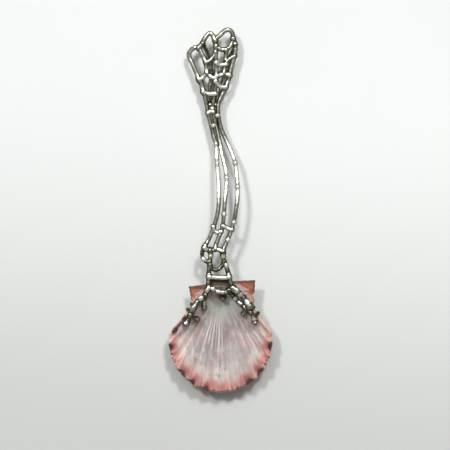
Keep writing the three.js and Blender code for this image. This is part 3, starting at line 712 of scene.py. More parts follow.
def layShell():
    zones = shellZones
    shell = plainMesh("shell", *discMesh())
    unite(shell, plainMesh("earLeft", *earMesh(0)), plainMesh("earRight", *earMesh(1)))
    mesh = shell.data
    points = np.array([v.co for v in mesh.vertices]) / mm
    x, y, z = points[:, 0], points[:, 1] + beakAhead, points[:, 2]
    angle = np.arctan2(x, -y)
    share = np.hypot(x, y) / marginReach(np.clip(angle, -math.pi / 2, math.pi / 2))
    hand = (x > 0).astype(int)
    half = np.take(valve["shoulder"], hand)
    root = half + np.maximum(-y, 0) * shoulderSlope
    rise, fall = np.take(ears["rise"], hand), np.take(ears["fall"], hand)
    down = np.clip((rise - y) / (rise + fall), 0, 1)
    outer = np.take(ears["reach"], hand) - np.take(ears["taper"], hand) * down
    out = np.clip((np.abs(x) - root) / np.maximum(outer - root, 0.5), 0, 1)
    onEar = smooth(*zones["earRoot"], np.abs(x) - root) * (y > -fall - zones["earBelow"])
    hingeShadowMask = smooth(*zones["hingeDown"], y) * smooth(*zones["hingeSide"], np.abs(x) - half)
    onEar = np.maximum(onEar, smooth(*zones["hingeTop"], y))
    base = domeHeight(x, y) - valve["wall"] / 2
    level = np.where(onEar > 0.5, valve["hingeHeight"] - ears["wall"], base)
    store(mesh, "fanAngle", np.degrees(angle))
    store(mesh, "fanShare", np.clip(share, 0, 1.02))
    store(mesh, "innerFace", smooth(*zones["faces"], z - level))
    mark, flare = rimMark(x, y)
    store(mesh, "rimMark", mark - 3 * onEar)  # the ears have no marks
    store(mesh, "rimFlare", flare * (1 - onEar))
    store(mesh, "hingeShadowMask", hingeShadowMask)
    beak = valve["beakShade"]
    nearBeak = np.exp(-(((y - beak["y"]) / beak["tall"]) ** 2))
    nearBeak = nearBeak * smooth(*zones["beakSide"], np.abs(x) - half)
    store(mesh, "beakShade", nearBeak * (z > level))
    pit = valve["pit"]
    nearPit = np.exp(-(((x - pit["x"]) / pit["wide"]) ** 2) - ((y - pit["y"]) / pit["tall"]) ** 2)
    store(mesh, "pitStain", nearPit * (z > level))
    store(mesh, "onEar", onEar)
    store(mesh, "earOut", out)
    store(mesh, "earDown", down)
    mesh.shade_smooth()
    mesh.set_sharp_from_angle(angle=math.radians(valve["sharpAngle"]))
    dress(shell, shellFinish(), ["scallop_shell"])
    print("shell laid:", len(mesh.polygons), "faces")


layShell()

# Silver wire: every strand of the handle, its knuckles, balled tips and solder
silver = {
    "wire": 0.85,  # radii
    "rail": 0.95,
    "claspRail": 0.95 * 1.06,  # a product is the solid's radius times how much fuller the strand is
    "claw": 1.3,
    "clawLeft": 0.95 * 1.2,
    "clawInner": 0.98 * 1.12,
    "bar": 0.98,  # bars and bands that cross the handle
    "hook": 0.7,
    "hookTuck": 0.4,  # how far a hook's bend stands off the edge, in its own radii
    "knuckle": 1.15,
    "knuckleVariety": 0.08,
    "tip": 1.15,
    "granule": 1.1,
    "seat": 0.3,
    "girth": 1.03,  # of the nominal radius
    "spanSteps": 24,  # of the dense line between two points of a route
    "ringStep": 0.32,
    "capRings": 7,
    "sides": 16,
    "unevenness": 0.06,
    "unevenRates": (0.45, 1.3),  # slow and quick
    "solder": 0.42,  # how much an end swells where it is soldered
    "solderReach": 1.3,
    "groove": 0.1,  # how far the wire is drawn in beside a knuckle
    "wrapGroove": 0.26,  # the same beside the wraps of the claws
    "grooveWidth": 0.36,
    "grooveAway": 1.1,  # from the knuckle's middle, in its radii
    "creviceReach": 0.9,
    "creviceSearch": 2.2,
    # worn bright spots on the claws: partly wear, partly painted highlights
    "highlitRubShine": 0.6,
    "tipShine": 0.35,
    "shineClears": 0.85,  # share of the dullness and painted shade that shine takes away
    "tarnishAndShade": {  # how dull each kind of strand is, oxidation and painted shade together: bars are kept bright, partly polish and partly painted reflection, and hooks are nearly black
        "short": 0.95, "hook": 2.0, "keel": 0.72, "strap": 0.5, "band": 0.0, "bar": 0.0, "saddle": 0.0,
        "sill": 0.0, "cup": 0.0, "collar": 0.1, "granule": 0.0, "claw": 0.95, "crown": 0.58, "clasp": 1.0,
        "stem": 0.0,
    },
    "stemTarnishAndShade": {"low": (40.0, 33.0, 0.75), "high": (55.0, 63.0, 0.8)},  # darker towards both ends of the stem, partly oxidation and partly painted dark reflection where the wire slopes: from, to, how much
    "granuleGrain": 1.1,
    "granuleLump": 0.07,
    "granuleSpread": 0.22,
    "bright": ((0.72, 0.71, 0.61), (0.86, 0.85, 0.77)),
    "dull": (0.092, 0.089, 0.065),
    "oxideAndShade": ((0.03, 0.029, 0.018), (0.075, 0.073, 0.046)),
}
handle = {
    "claspLength": 26.9,
    "claspWidth": 13.1,
    "claspStart": -2.05,
    "claspLeft": 7.8,
    "claspLevel": 11.95,
    "stemLength": 48.8,
    "stemSpread": 10.25,
    "stemLeft": 3.1,
    "stemArch": 0.9,
    "stemSlope": (0.08, 0.8),  # shares of the stem over which it comes down to the neck
    "neckHeight": 6.0,
    "crownLength": 32.8,
    "crownWidth": 20.5,
    "crownOffset": 3.7,
    "crownHeight": 7.2,
    "crownSlope": (0, 0.7),
    "crownEdgeDrop": 2.4,
    "crownFlatten": 0.6,  # how much of that drop is gone at the far end
    "hookReach": 4.6,
    "strapDepth": 5.4,
    "strapReach": 4.4,
    "strapWidth": 7.0,
    "keelLevel": 0.75,
}
handle["stemStart"] = handle["claspStart"] + handle["claspLength"]
handle["crownStart"] = handle["stemStart"] + handle["stemLength"]


# Places on the handle, as shares of the width and length of its own part
def clasp(across, along, drop=0.0):
    x = across * handle["claspWidth"] - handle["claspLeft"]
    y = handle["claspStart"] + along * handle["claspLength"]
    return np.array([x, y, handle["claspLevel"] - drop * handle["strapDepth"]])


def stem(across, along):
    level = blendTo(handle["claspLevel"], handle["neckHeight"], float(smooth(*handle["stemSlope"], along)))
    level += handle["stemArch"] * math.sin(math.pi * along) * (1 - along)
    x = across * handle["stemSpread"] - handle["stemLeft"]
    return np.array([x, handle["stemStart"] + along * handle["stemLength"], level])


def crown(across, along):
    slope = float(smooth(*handle["crownSlope"], along))
    middle = blendTo(handle["neckHeight"], handle["crownHeight"], slope)
    edge = (2 * across - 1) ** 2 * handle["crownEdgeDrop"] * (1 - handle["crownFlatten"] * along**2)
    x = (across - 0.5) * handle["crownWidth"] - handle["crownOffset"]
    return np.array([x, handle["crownStart"] + along * handle["crownLength"], middle - edge])


def keel(across, along, rise):
    place = crown(across, along)
    place[2] = blendTo(handle["keelLevel"], place[2], rise)
    return place


def valvePlan(angle, share):
    return marginPoint(math.radians(angle)) * share


def overValve(plan, radius=silver["wire"]):
    x, y = plan
    level = min(float(domeHeight(x, y)), valve["hingeHeight"])
    steep = float(domeNormal(np.float64(x), np.float64(y))[2]) if rimShare(x, y) < 1 else 1.0
    return np.array([x, y, level + (valve["ribInside"] + silver["seat"] + radius) / steep])


def underValve(plan, radius=silver["wire"]):
    x, y = plan
    clear = valve["wall"] + valve["ribOutside"] + silver["seat"] + radius
    steep = float(domeNormal(np.float64(x), np.float64(y))[2])
    return np.array([x, y, float(domeHeight(x, y)) - clear / steep])


def inside(angle, share):
    return overValve(valvePlan(angle, share))


def grip(angle, share):
    return overValve(valvePlan(angle, share), silver["claw"])


def hook(angle, start):  # from a claw, close over the shoulder's edge and against the back
    edge = valvePlan(angle, 1)
    side = valvePlan(angle + 1, 1) - valvePlan(angle - 1, 1)
    outward = np.array([side[1], -side[0]]) / np.linalg.norm(side)
    thin, wall = silver["hook"], valve["wall"]
    lean = math.sqrt(1 - domeNormal(*(edge - outward * wall))[2] ** 2)
    turn = edge + outward * (wall * lean + thin * silver["hookTuck"])
    tail = [underValve(edge - outward * handle["hookReach"] * share, thin) for share in (0.5, 1)]
    bend = np.array([*turn, valve["hingeHeight"] - wall / 2])
    return [start, overValve(edge - outward * wall / 2, thin), bend, *tail]


def run(place, *spots):  # points of a route on one part of the handle
    return [place(*spot) for spot in spots]


strapSide = handle["strapWidth"] / 3
strapHalf = handle["strapReach"] / 2
strands = {
    "stem_wire_left": {
        "route": [
            *run(crown, (0.34, 0.19), (0.375, 0.11), (0.4, 0.03)),
            *run(
                stem, (-0.2, 0.95), (-0.09, 0.85), (0.05, 0.735), (0.12, 0.69), (0.145, 0.62),
                (0.16, 0.527), (0.2, 0.43), (0.235, 0.27), (0.215, 0.15), (0.12, 0.05),
            ),
            *run(clasp, (0.3, 0.875), (0.22, 0.785), (0.1, 0.69)),
        ],
        "knuckles": [6, 8, 15],
    },
    "stem_wire_middle": {
        "route": [
            *run(crown, (0.575, 0.36), (0.585, 0.3), (0.575, 0.22), (0.56, 0.14), (0.535, 0.06)),
            *run(
                stem, (0.01, 0.96), (0.14, 0.83), (0.29, 0.69), (0.355, 0.605), (0.52, 0.46),
                (0.545, 0.405), (0.535, 0.32), (0.48, 0.2), (0.44, 0.097),
            ),
            *run(clasp, (0.66, 0.985), (0.6, 0.89), (0.53, 0.81), (0.465, 0.73), (0.43, 0.645)),
        ],
        "knuckles": [10, 13],
    },
    "stem_wire_right": {
        "route": [
            *run(crown, (0.785, 0.255), (0.75, 0.2), (0.7, 0.14), (0.65, 0.07)),
            *run(
                stem, (0.205, 0.96), (0.33, 0.82), (0.53, 0.72), (0.76, 0.61), (0.89, 0.528),
                (0.955, 0.42), (0.988, 0.328), (0.985, 0.235), (0.935, 0.155), (0.83, 0.03),
            ),
            *run(clasp, (0.89, 0.87), (0.82, 0.785), (0.735, 0.695), (0.668, 0.61)),
        ],
        "knuckles": [8, 10, 13, 15],
    },
    "clasp_rail_left": {
        "route": run(
            clasp, (0.27, 0.63), (0.29, 0.54), (0.262, 0.465), (0.253, 0.38), (0.23, 0.3),
            (0.234, 0.21), (0.22, 0.14), (0.228, 0.05),
        ),
        "radius": silver["claspRail"], "knuckles": [1, 2, 5, 7],
    },
    "clasp_rail_right": {
        "route": run(
            clasp, (0.67, 0.6), (0.684, 0.535), (0.71, 0.46), (0.77, 0.395), (0.82, 0.32), (0.86, 0.23),
            (0.903, 0.145), (0.97, 0.05),
        ),
        "radius": silver["claspRail"], "knuckles": [1, 3, 7],
    },
    "clasp_bar_top": {
        "route": run(
            clasp, (0.09, 0.67), (0.17, 0.643), (0.27, 0.63), (0.41, 0.637), (0.54, 0.643),
            (0.668, 0.61),
        ),
        "radius": silver["bar"],
    },
    "clasp_loop": {
        "route": run(
            clasp, (0.1, 0.69), (0.035, 0.62), (0.02, 0.555), (0.07, 0.49), (0.16, 0.46),
            (0.255, 0.455),
        ),
        "knuckles": [3],
    },
    "clasp_arc": {
        "route": run(
            clasp, (0.26, 0.408), (0.316, 0.356), (0.41, 0.333), (0.516, 0.337), (0.616, 0.377),
            (0.71, 0.46),
        ),
    },
    "clasp_bar_low": {
        "route": run(clasp, (0.232, 0.224), (0.47, 0.218), (0.69, 0.212), (0.862, 0.222)),
        "radius": silver["bar"],
    },
    "clasp_saddle": {
        "route": run(
            clasp, (0.228, 0.05), (0.366, 0.04), (0.516, 0.005), (0.656, -0.008), (0.8, 0.005),
            (0.97, 0.05),
        ),
        "radius": silver["bar"], "knuckles": [1, 2, 4],
    },
    "collar_left": {"route": run(clasp, (0.37, 0.99), (0.4, 0.935), (0.49, 0.9), (0.615, 0.915))},
    "collar_right": {"route": run(clasp, (0.67, 1), (0.766, 0.98), (0.86, 0.955), (0.95, 0.945))},
    "back_strap": {
        "route": [
            *run(clasp, (0.232, 0.26), (0.25, 0.25, 0.3), (0.34, 0.17, 0.9)),
            underValve((-strapSide, -strapHalf)),
            underValve((0, -handle["strapReach"])),
            underValve((strapSide, -strapHalf)),
            *run(clasp, (0.76, 0.17, 0.9), (0.84, 0.25, 0.3), (0.85, 0.26)),
        ],
    },
    "claw_left": {
        "route": [
            clasp(0.228, 0.05),
            *run(
                inside, (-73, 0.92), (-62, 0.8), (-60, 0.96), (-57, 1), (-52, 0.94), (-47, 0.74),
                (-44, 0.65), (-43, 0.7),
            ),
        ],
        "radius": silver["clawLeft"], "knuckles": [1, 3, 6], "groove": silver["wrapGroove"],
        "rubbedAndHighlit": [5], "tip": True,
    },
    "claw_left_short": {
        "route": run(inside, (-62, 0.8), (-46, 0.36), (-37, 0.33)),
        "rubbedAndHighlit": [1], "tip": True,
    },
    "claw_left_inner": {"route": run(inside, (-47, 0.74), (-41, 0.54), (-35, 0.48)), "tip": True},
    "hook_left_upper": {"route": hook(-53.5, inside(-50, 0.8)), "radius": silver["hook"], "tip": True},
    "hook_left_lower": {"route": hook(-51, inside(-47, 0.74)), "radius": silver["hook"], "tip": True},
    "claw_right_outer": {
        "route": [
            clasp(0.97, 0.05),
            *run(grip, (75, 0.98), (69, 1.03), (65, 1.1), (60, 1.08), (56, 1.02)),
        ],
        "radius": silver["claw"], "knuckles": [2, 4], "groove": silver["wrapGroove"], "rubbedAndHighlit": [1],
    },
    "claw_right_inner": {
        "route": [
            clasp(0.86, 0.02),
            *run(inside, (51, 0.4), (50, 0.51), (50, 0.64), (49, 0.72), (47, 0.7), (44, 0.69)),
        ],
        "radius": silver["clawInner"], "knuckles": [1, 3, 5], "groove": silver["wrapGroove"],
        "rubbedAndHighlit": [2, 6], "tip": True,
    },
    "hook_right_upper": {"route": hook(54, inside(50, 0.64)), "radius": silver["hook"], "tip": True},
    "hook_right_lower": {"route": hook(51.5, inside(48, 0.71)), "radius": silver["hook"], "tip": True},
    "claw_right_short": {"route": run(inside, (50, 0.6), (45, 0.5), (40, 0.46)), "tip": True},
    "crown_arch_left": {
        "route": run(
            crown, (0.25, 0.34), (0.19, 0.44), (0.12, 0.54), (0.06, 0.62), (0.05, 0.675), (0.1, 0.72),
            (0.18, 0.75), (0.25, 0.735), (0.29, 0.69), (0.34, 0.625), (0.39, 0.56),
        ),
        "radius": silver["rail"],
    },
    "crown_loop_right": {
        "route": run(
            crown, (0.575, 0.83), (0.61, 0.87), (0.68, 0.905), (0.75, 0.95), (0.83, 0.97),
            (0.905, 0.945), (0.93, 0.88), (0.91, 0.81), (0.865, 0.755), (0.78, 0.725), (0.68, 0.725),
            (0.605, 0.76), (0.575, 0.8),
        ),
        "radius": silver["rail"], "closed": True,
    },
    "crown_arch_middle": {
        "route": run(
            crown, (0.24, 0.74), (0.31, 0.795), (0.36, 0.855), (0.41, 0.9), (0.465, 0.925), (0.52, 0.9),
            (0.575, 0.83),
        ),
        "radius": silver["rail"],
    },
    "crown_strut_middle": {
        "route": run(crown, (0.59, 0.77), (0.58, 0.695), (0.545, 0.64), (0.475, 0.59), (0.39, 0.56)),
    },
    "crown_strut_left": {"route": run(crown, (0.39, 0.56), (0.395, 0.495), (0.41, 0.42))},
    "crown_band_left": {
        "route": run(
            crown, (0.25, 0.34), (0.32, 0.37), (0.41, 0.42), (0.465, 0.39), (0.53, 0.37), (0.575, 0.36),
        ),
        "radius": silver["bar"],
    },
    "crown_strut_inner": {"route": run(crown, (0.58, 0.695), (0.59, 0.59), (0.6, 0.5), (0.595, 0.385))},
    "crown_rail_right": {
        "route": run(
            crown, (0.93, 0.86), (0.975, 0.79), (0.98, 0.73), (0.965, 0.66), (0.94, 0.595),
            (0.91, 0.525), (0.88, 0.455), (0.86, 0.4),
        ),
        "radius": silver["rail"], "knuckles": [1, 7],
    },
    "crown_strut_right": {
        "route": run(
            crown, (0.96, 0.64), (0.895, 0.62), (0.83, 0.59), (0.79, 0.545), (0.765, 0.49),
            (0.75, 0.42),
        ),
    },
    "crown_strut_back": {
        "route": [
            crown(0.79, 0.72),
            *run(keel, (0.79, 0.66, 0.85), (0.785, 0.6, 0.85)),
            crown(0.77, 0.53),
        ],
    },
    "crown_saddle": {
        "route": run(crown, (0.595, 0.56), (0.64, 0.535), (0.7, 0.53), (0.785, 0.535)),
        "radius": silver["bar"],
    },
    "crown_band_right": {
        "route": run(
            crown, (0.595, 0.39), (0.65, 0.4), (0.71, 0.41), (0.75, 0.42), (0.81, 0.41), (0.86, 0.4),
        ),
        "radius": silver["bar"],
    },
    "crown_rail_left": {
        "route": run(crown, (0.25, 0.34), (0.3, 0.29), (0.315, 0.24), (0.34, 0.19)),
        "radius": silver["rail"],
    },
    "crown_sill": {
        "route": run(crown, (0.335, 0.19), (0.4, 0.175), (0.47, 0.165), (0.565, 0.17)),
        "radius": silver["bar"],
    },
    "crown_foot_right": {
        "route": run(crown, (0.86, 0.4), (0.845, 0.345), (0.815, 0.3), (0.785, 0.255)),
    },
    "crown_cup": {
        "route": run(crown, (0.58, 0.325), (0.62, 0.285), (0.68, 0.26), (0.74, 0.25), (0.785, 0.255)),
        "radius": silver["bar"],
    },
    "keel_wire_left": {
        "route": run(
            keel, (0.47, 0.03, 0.88), (0.46, 0.12, 0.5), (0.47, 0.25, 0.12), (0.49, 0.38, 0),
            (0.49, 0.5, 0), (0.46, 0.6, 0.14), (0.42, 0.68, 0.42), (0.36, 0.755, 0.75), (0.32, 0.8, 1),
        ),
    },
    "keel_wire_right": {
        "route": run(
            keel, (0.585, 0.03, 0.86), (0.63, 0.12, 0.5), (0.7, 0.25, 0.12), (0.76, 0.38, 0),
            (0.8, 0.5, 0), (0.85, 0.6, 0.14), (0.91, 0.68, 0.45), (0.96, 0.74, 0.75), (0.975, 0.79, 1),
        ),
    },
    "keel_bar": {"route": run(keel, (0.49, 0.44, 0), (0.63, 0.43, 0), (0.78, 0.44, 0))},
    "neck_band": {"route": run(stem, (-0.2, 0.95), (-0.12, 0.965), (-0.06, 0.965), (0.01, 0.96))},
}
granules = {
    "neck_granule_large": {"place": stem(0.02, 0.846), "lift": 0.4},
    "neck_granule_right": {"place": stem(0.18, 0.93), "lift": 0.4},
    "neck_granule_left": {"place": stem(-0.03, 0.99), "lift": 0.3},
}


# A centripetal curve: its dense line, and where on it each point of the route lies
def curveThrough(route, closed):
    points = [np.asarray(p, float) for p in route]
    count = len(points)
    spans = count if closed else count - 1
    line, marks = [], []
    for i in range(spans):
        b, c = points[i], points[(i + 1) % count]
        a = points[i - 1] if closed or i > 0 else 2 * b - c
        d = points[(i + 2) % count] if closed or i + 2 < count else 2 * c - b
        pairs = ((a, b), (b, c), (c, d))
        before, middle, after = (max(np.linalg.norm(q - p), 1e-6) ** 0.5 for p, q in pairs)
        start = ((b - a) / before - (c - a) / (before + middle) + (c - b) / middle) * middle
        end = ((c - b) / middle - (d - b) / (middle + after) + (d - c) / after) * middle
        marks.append(len(line))
        for t in np.linspace(0, 1, silver["spanSteps"], endpoint=False):
            bend = -3 * b + 3 * c - 2 * start - end
            twist = 2 * b - 2 * c + start + end
            line.append(b + start * t + bend * t**2 + twist * t**3)
    if not closed:
        marks.append(len(line))
        line.append(points[-1])
    return np.array(line), marks


def evenLine(line, closed, step):  # points a step apart, and how far each dense point lies along the line
    loop = np.vstack([line, line[:1]]) if closed else line
    along = np.concatenate([[0], np.cumsum(np.linalg.norm(np.diff(loop, axis=0), axis=1))])
    count = max(4, int(round(along[-1] / step)))
    places = np.linspace(0, along[-1], count, endpoint=not closed)
    even = np.stack([np.interp(places, along, loop[:, k]) for k in range(3)], -1)
    return even, places, along


def ballProfile(places, centre, radius):
    return np.sqrt(np.maximum(radius**2 - (places - centre) ** 2, 0))


def strandLine(name, strand):
    closed = strand.get("closed", False)
    radius = strand.get("radius", silver["wire"])
    dense, marks = curveThrough(strand["route"], closed)
    even, places, along = evenLine(dense, closed, silver["ringStep"])
    length = along[-1]
    seed = sum(ord(letter) * (i + 3) for i, letter in enumerate(name)) % 97
    slowRate, quickRate = silver["unevenRates"]
    slow = np.array([noise.noise(Vector((s * slowRate, seed, 0.5))) for s in places])
    quick = np.array([noise.noise(Vector((s * quickRate, seed, 7.5))) for s in places])
    girth = radius * silver["girth"] * (1 + silver["unevenness"] * (slow + 0.5 * quick))
    groove, shine = np.zeros(len(places)), np.zeros(len(places))
    if not closed:
        for end in (0, length):
            swell = np.exp(-(((places - end) / silver["solderReach"]) ** 2))
            girth = girth * (1 + silver["solder"] * swell)
    for index in strand.get("knuckles", []):
        centre = along[marks[index]]
        away = np.abs(places - centre)
        beside = away - silver["knuckle"] * silver["grooveAway"]
        beside = np.exp(-((beside / silver["grooveWidth"]) ** 2))
        girth = girth * (1 - strand.get("groove", silver["groove"]) * beside)
        ball = silver["knuckle"] * (1 + silver["knuckleVariety"] * math.sin(centre))
        girth = np.maximum(girth, ballProfile(places, centre, ball))
        groove = np.maximum(groove, beside)
        shine = np.maximum(shine, np.exp(-((away / silver["knuckle"]) ** 4)))
    # worn bright spots: partly wear, partly painted highlights
    for index in strand.get("rubbedAndHighlit", []):
        away = (places - along[marks[index]]) / silver["knuckle"]
        shine = np.maximum(shine, silver["highlitRubShine"] * np.exp(-(away**2)))
    if strand.get("tip"):
        away = (places - length) / silver["tip"]
        shine = np.maximum(shine, silver["tipShine"] * np.exp(-(away**4)))
    rings = {"line": even, "place": places, "girth": girth, "groove": groove, "shine": shine}
    if not closed:  # rounded ends, or a ball where the strand has a tip
        rings = roundEnd(rings, 0, girth[0])
        last = silver["tip"] * silver["girth"] if strand.get("tip") else girth[-1]
        rings = roundEnd(rings, length, last)
    return {**rings, "closed": closed}


def roundEnd(rings, end, radius):
    first = end == 0
    line, place = rings["line"], rings["place"]
    tangent = line[0] - line[1] if first else line[-1] - line[-2]
    tangent = tangent / np.linalg.norm(tangent)
    turns = np.linspace(0, math.pi / 2, silver["capRings"])[1:-1]
    cap = {
        "line": (line[0] if first else line[-1]) + np.sin(turns)[:, None] * tangent * radius,
        "place": end + (-1 if first else 1) * radius * np.sin(turns),
        "girth": radius * np.cos(turns),
        "groove": np.zeros(len(turns)),
        "shine": np.full(len(turns), rings["shine"][0 if first else -1]),
    }
    near = np.abs(place - end) < radius
    girth = np.where(near, np.maximum(rings["girth"], ballProfile(place, end, radius)), rings["girth"])
    rings = {**rings, "girth": girth}
    if first:
        return {key: np.concatenate([cap[key][::-1], rings[key]]) for key in rings}
    return {key: np.concatenate([rings[key], cap[key]]) for key in rings}


def strandMesh(shape):
    line, girth, closed = shape["line"], shape["girth"], shape["closed"]
    count, sides = len(line), silver["sides"]
    if closed:
        tangents = np.roll(line, -1, 0) - np.roll(line, 1, 0)
    else:
        tangents = np.gradient(line, axis=0)
    tangents = tangents / np.linalg.norm(tangents, axis=1, keepdims=True)
    up = np.cross(tangents[0], (0.0, 0.0, 1.0))
    up = up / max(np.linalg.norm(up), 1e-6)
    ups = [up]
    for i in range(1, count):  # the section is carried along without twist
        up = ups[-1] - tangents[i] * np.dot(ups[-1], tangents[i])
        ups.append(up / np.linalg.norm(up))
    ups = np.array(ups)
    if closed:
        back = ups[-1] - tangents[0] * np.dot(ups[-1], tangents[0])
        lead = math.atan2(np.dot(np.cross(back, ups[0]), tangents[0]), np.dot(back, ups[0]))
    else:
        lead = 0.0
    sidesOut = np.cross(tangents, ups)
    rings = []
    for i in range(count):
        turn = np.arange(sides) / sides * 2 * math.pi + lead * i / count
        ring = np.cos(turn)[:, None] * ups[i] + np.sin(turn)[:, None] * sidesOut[i]
        rings.append(line[i] + ring * girth[i])
    points = np.concatenate(rings)
    faces = []
    for i in range(count if closed else count - 1):
        following = (i + 1) % count
        for k in range(sides):
            n = (k + 1) % sides
            faces.append((i * sides + k, i * sides + n, following * sides + n, following * sides + k))
    if not closed:
        faces.append(tuple(range(sides))[::-1])
        faces.append(tuple((count - 1) * sides + k for k in range(sides)))
    points[:, 2] = np.maximum(points[:, 2], 0)
    return points, faces, np.repeat(shape["groove"], sides), np.repeat(shape["shine"], sides)


def silverFinish():
    material, shade = newFinish("oxidised silver with painted shade")
    crevice = shade.attribute("crevice")
    dull = shade.attribute("tarnishAndShade")
    groove = shade.attribute("groove")
    place = shade.add("ShaderNodeTexCoord", out="Object")
    normal = shade.add("ShaderNodeNewGeometry", out="Normal")
    facing = shade.add("ShaderNodeSeparateXYZ", None, {"Vector": normal}, out="Z")
    cloud = shade.speckle(place, 420.0, 3.0, 0.6)
    lump = shade.speckle(place, 700.0, 2.0, 0.5, 0.3)
    scratch = shade.speckle(place, 2600.0, 2.0, 0.7)
    # darker along both flanks, partly real oxidation and partly painted shade and dark reflection; less of
    # it underneath
    flank = (facing + (cloud - 0.5) * 0.35 - dull * 0.24).between(0.72, 0.3)
    flank = flank * (facing + (lump - 0.5) * 0.5).between(-0.35, 0.1, 0.3, 1.0)
    corner = crevice.between(0.2, 0.85) * facing.between(0.985, 0.7, 0.15, 1.0)
    oxideAndShade = (flank * 0.95 + corner * cloud.between(0.25, 0.55, 0.65, 1.0) + groove * 0.8).clamped()
    bright = cloud.between(0.35, 0.7).mix(*silver["bright"])
    bright = (dull * cloud.between(0.3, 0.7, 1.1, 0.75)).mix(bright, silver["dull"])
    dark = lump.between(0.4, 0.65).mix(*silver["oxideAndShade"])
    tone = oxideAndShade.mix(bright, dark)
    rough = 0.17 + scratch * 0.08 + oxideAndShade * 0.22
    sockets = {"Base Color": tone, "Roughness": rough, "Metallic": 1.0 - oxideAndShade * 0.25}
    closeFinish(shade, sockets, (lump * 0.8 + scratch * 0.2, 0.25, 0.00018))
    return material


def tarnishAndShadeOf(name, along):
    level = next(amount for word, amount in silver["tarnishAndShade"].items() if word in name.split("_"))
    # the stem is painted darker towards both ends: partly oxidation, partly painted dark reflection
    if name.startswith("stem"):
        parts = silver["stemTarnishAndShade"].values()
        level = sum(amount * smooth(start, end, along) for start, end, amount in parts)
    return level + 0 * along


def layStrands():
    finish = silverFinish()
    shapes = {name: strandLine(name, strand) for name, strand in strands.items()}
    for name, granule in granules.items():
        centre = granule["place"] + np.array([0, 0, granule["lift"] * 2 * silver["granule"]])
        shapes[name] = {"line": centre[None], "girth": np.array([silver["granule"]])}
    owners, tree = [], KDTree(sum(len(shape["line"]) for shape in shapes.values()))
    for name, shape in shapes.items():
        for point, girth in zip(shape["line"], shape["girth"]):
            tree.insert(Vector(point), len(owners))
            owners.append((name, girth))
    tree.balance()

    def creviceAt(name, point):  # 1 in the crook between two strands, 0 away from them
        nearest = silver["creviceReach"]
        for _, index, distance in tree.find_range(Vector(point), silver["creviceSearch"]):
            other, girth = owners[index]
            if other != name:
                nearest = min(nearest, distance - girth)
        return 1 - max(nearest, 0) / silver["creviceReach"]

    for name, shape in shapes.items():
        if name in granules:
            points, faces = granuleMesh(name, shape["line"][0])
            groove, shine = np.zeros(len(points)), np.zeros(len(points))
        else:
            points, faces, groove, shine = strandMesh(shape)
        piece = newPiece("silver_" + name, toRow(points), faces, finish, [name])
        crevice = np.array([creviceAt(name, p) for p in points])
        store(piece.data, "crevice", crevice)
        store(piece.data, "groove", groove)
        dull = tarnishAndShadeOf(name, points[:, 1]) * (1 - silver["shineClears"] * shine)
        store(piece.data, "tarnishAndShade", dull)
    print("strands laid:", len(strands), "and granules:", len(granules))


def granuleMesh(name, centre):
    seed = Vector((len(name), 0, 0))

    def melt(vert):  # a drop of melted silver: lumpy, and spread where it sits
        lump = noise.noise(vert.co * silver["granuleGrain"] + seed)
        sink = max(-vert.co.z, 0)
        vert.co *= 1 + silver["granuleLump"] * lump
        vert.co.xy *= 1 + silver["granuleSpread"] * sink

    points, faces = lumpMesh(4, silver["granule"], melt)
    return points + centre, faces


layStrands()

# What is left of the ligament, dark and fibrous, in the pit under the hinge
ligament = {
    "core": 0.84,  # of the solid's own half sizes
    "lump": 0.5,
    "lumpGrain": (1.9, 4.3),  # wide and narrow lumps
    "narrowLump": 0.6,
    "fibres": 9.0,
    "fibreWander": 2,
    "fibreDepth": 0.12,
    "horn": ((0.035, 0.025, 0.015), (0.12, 0.088, 0.05)),
    "flake": (0.27, 0.23, 0.165),
}


def ligamentFinish():
    material, shade = newFinish("dry ligament")
    place = shade.add("ShaderNodeTexCoord", out="Object")
    grain = shade.speckle(place, 1500.0, 4.0, 0.65)
    patchy = shade.speckle(place, 500.0, 2.0, 0.5)
    tone = grain.between(0.38, 0.64).mix(*ligament["horn"])
    tone = (patchy.between(0.58, 0.7) * 0.6).mix(tone, ligament["flake"])
    sockets = {"Base Color": tone, "Roughness": 0.75 + grain * 0.2, "Specular IOR Level": 0.2}
    closeFinish(shade, sockets, (grain, 0.6, 0.0002))
    return material


def layLigament():
    low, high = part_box("hinge_ligament")
    centre, size = (low + high) / 2, (high - low) / 2
    wide, narrow = ligament["lumpGrain"]

    def shrivel(vert):
        lump = noise.noise(vert.co * wide) + ligament["narrowLump"] * noise.noise(vert.co * narrow)
        turn = vert.co.x * ligament["fibres"] + ligament["fibreWander"] * noise.noise(vert.co * 2)
        fibre = math.sin(turn) * ligament["fibreDepth"]
        vert.co *= ligament["core"] + lump * ligament["lump"] + fibre * max(vert.co.z, 0)

    points, faces = lumpMesh(5, 1.0, shrivel)
    points = points * np.array(size) + np.array(centre)
    newPiece("ligament", points, faces, ligamentFinish(), ["hinge_ligament"])
    print("ligament laid")


layLigament()

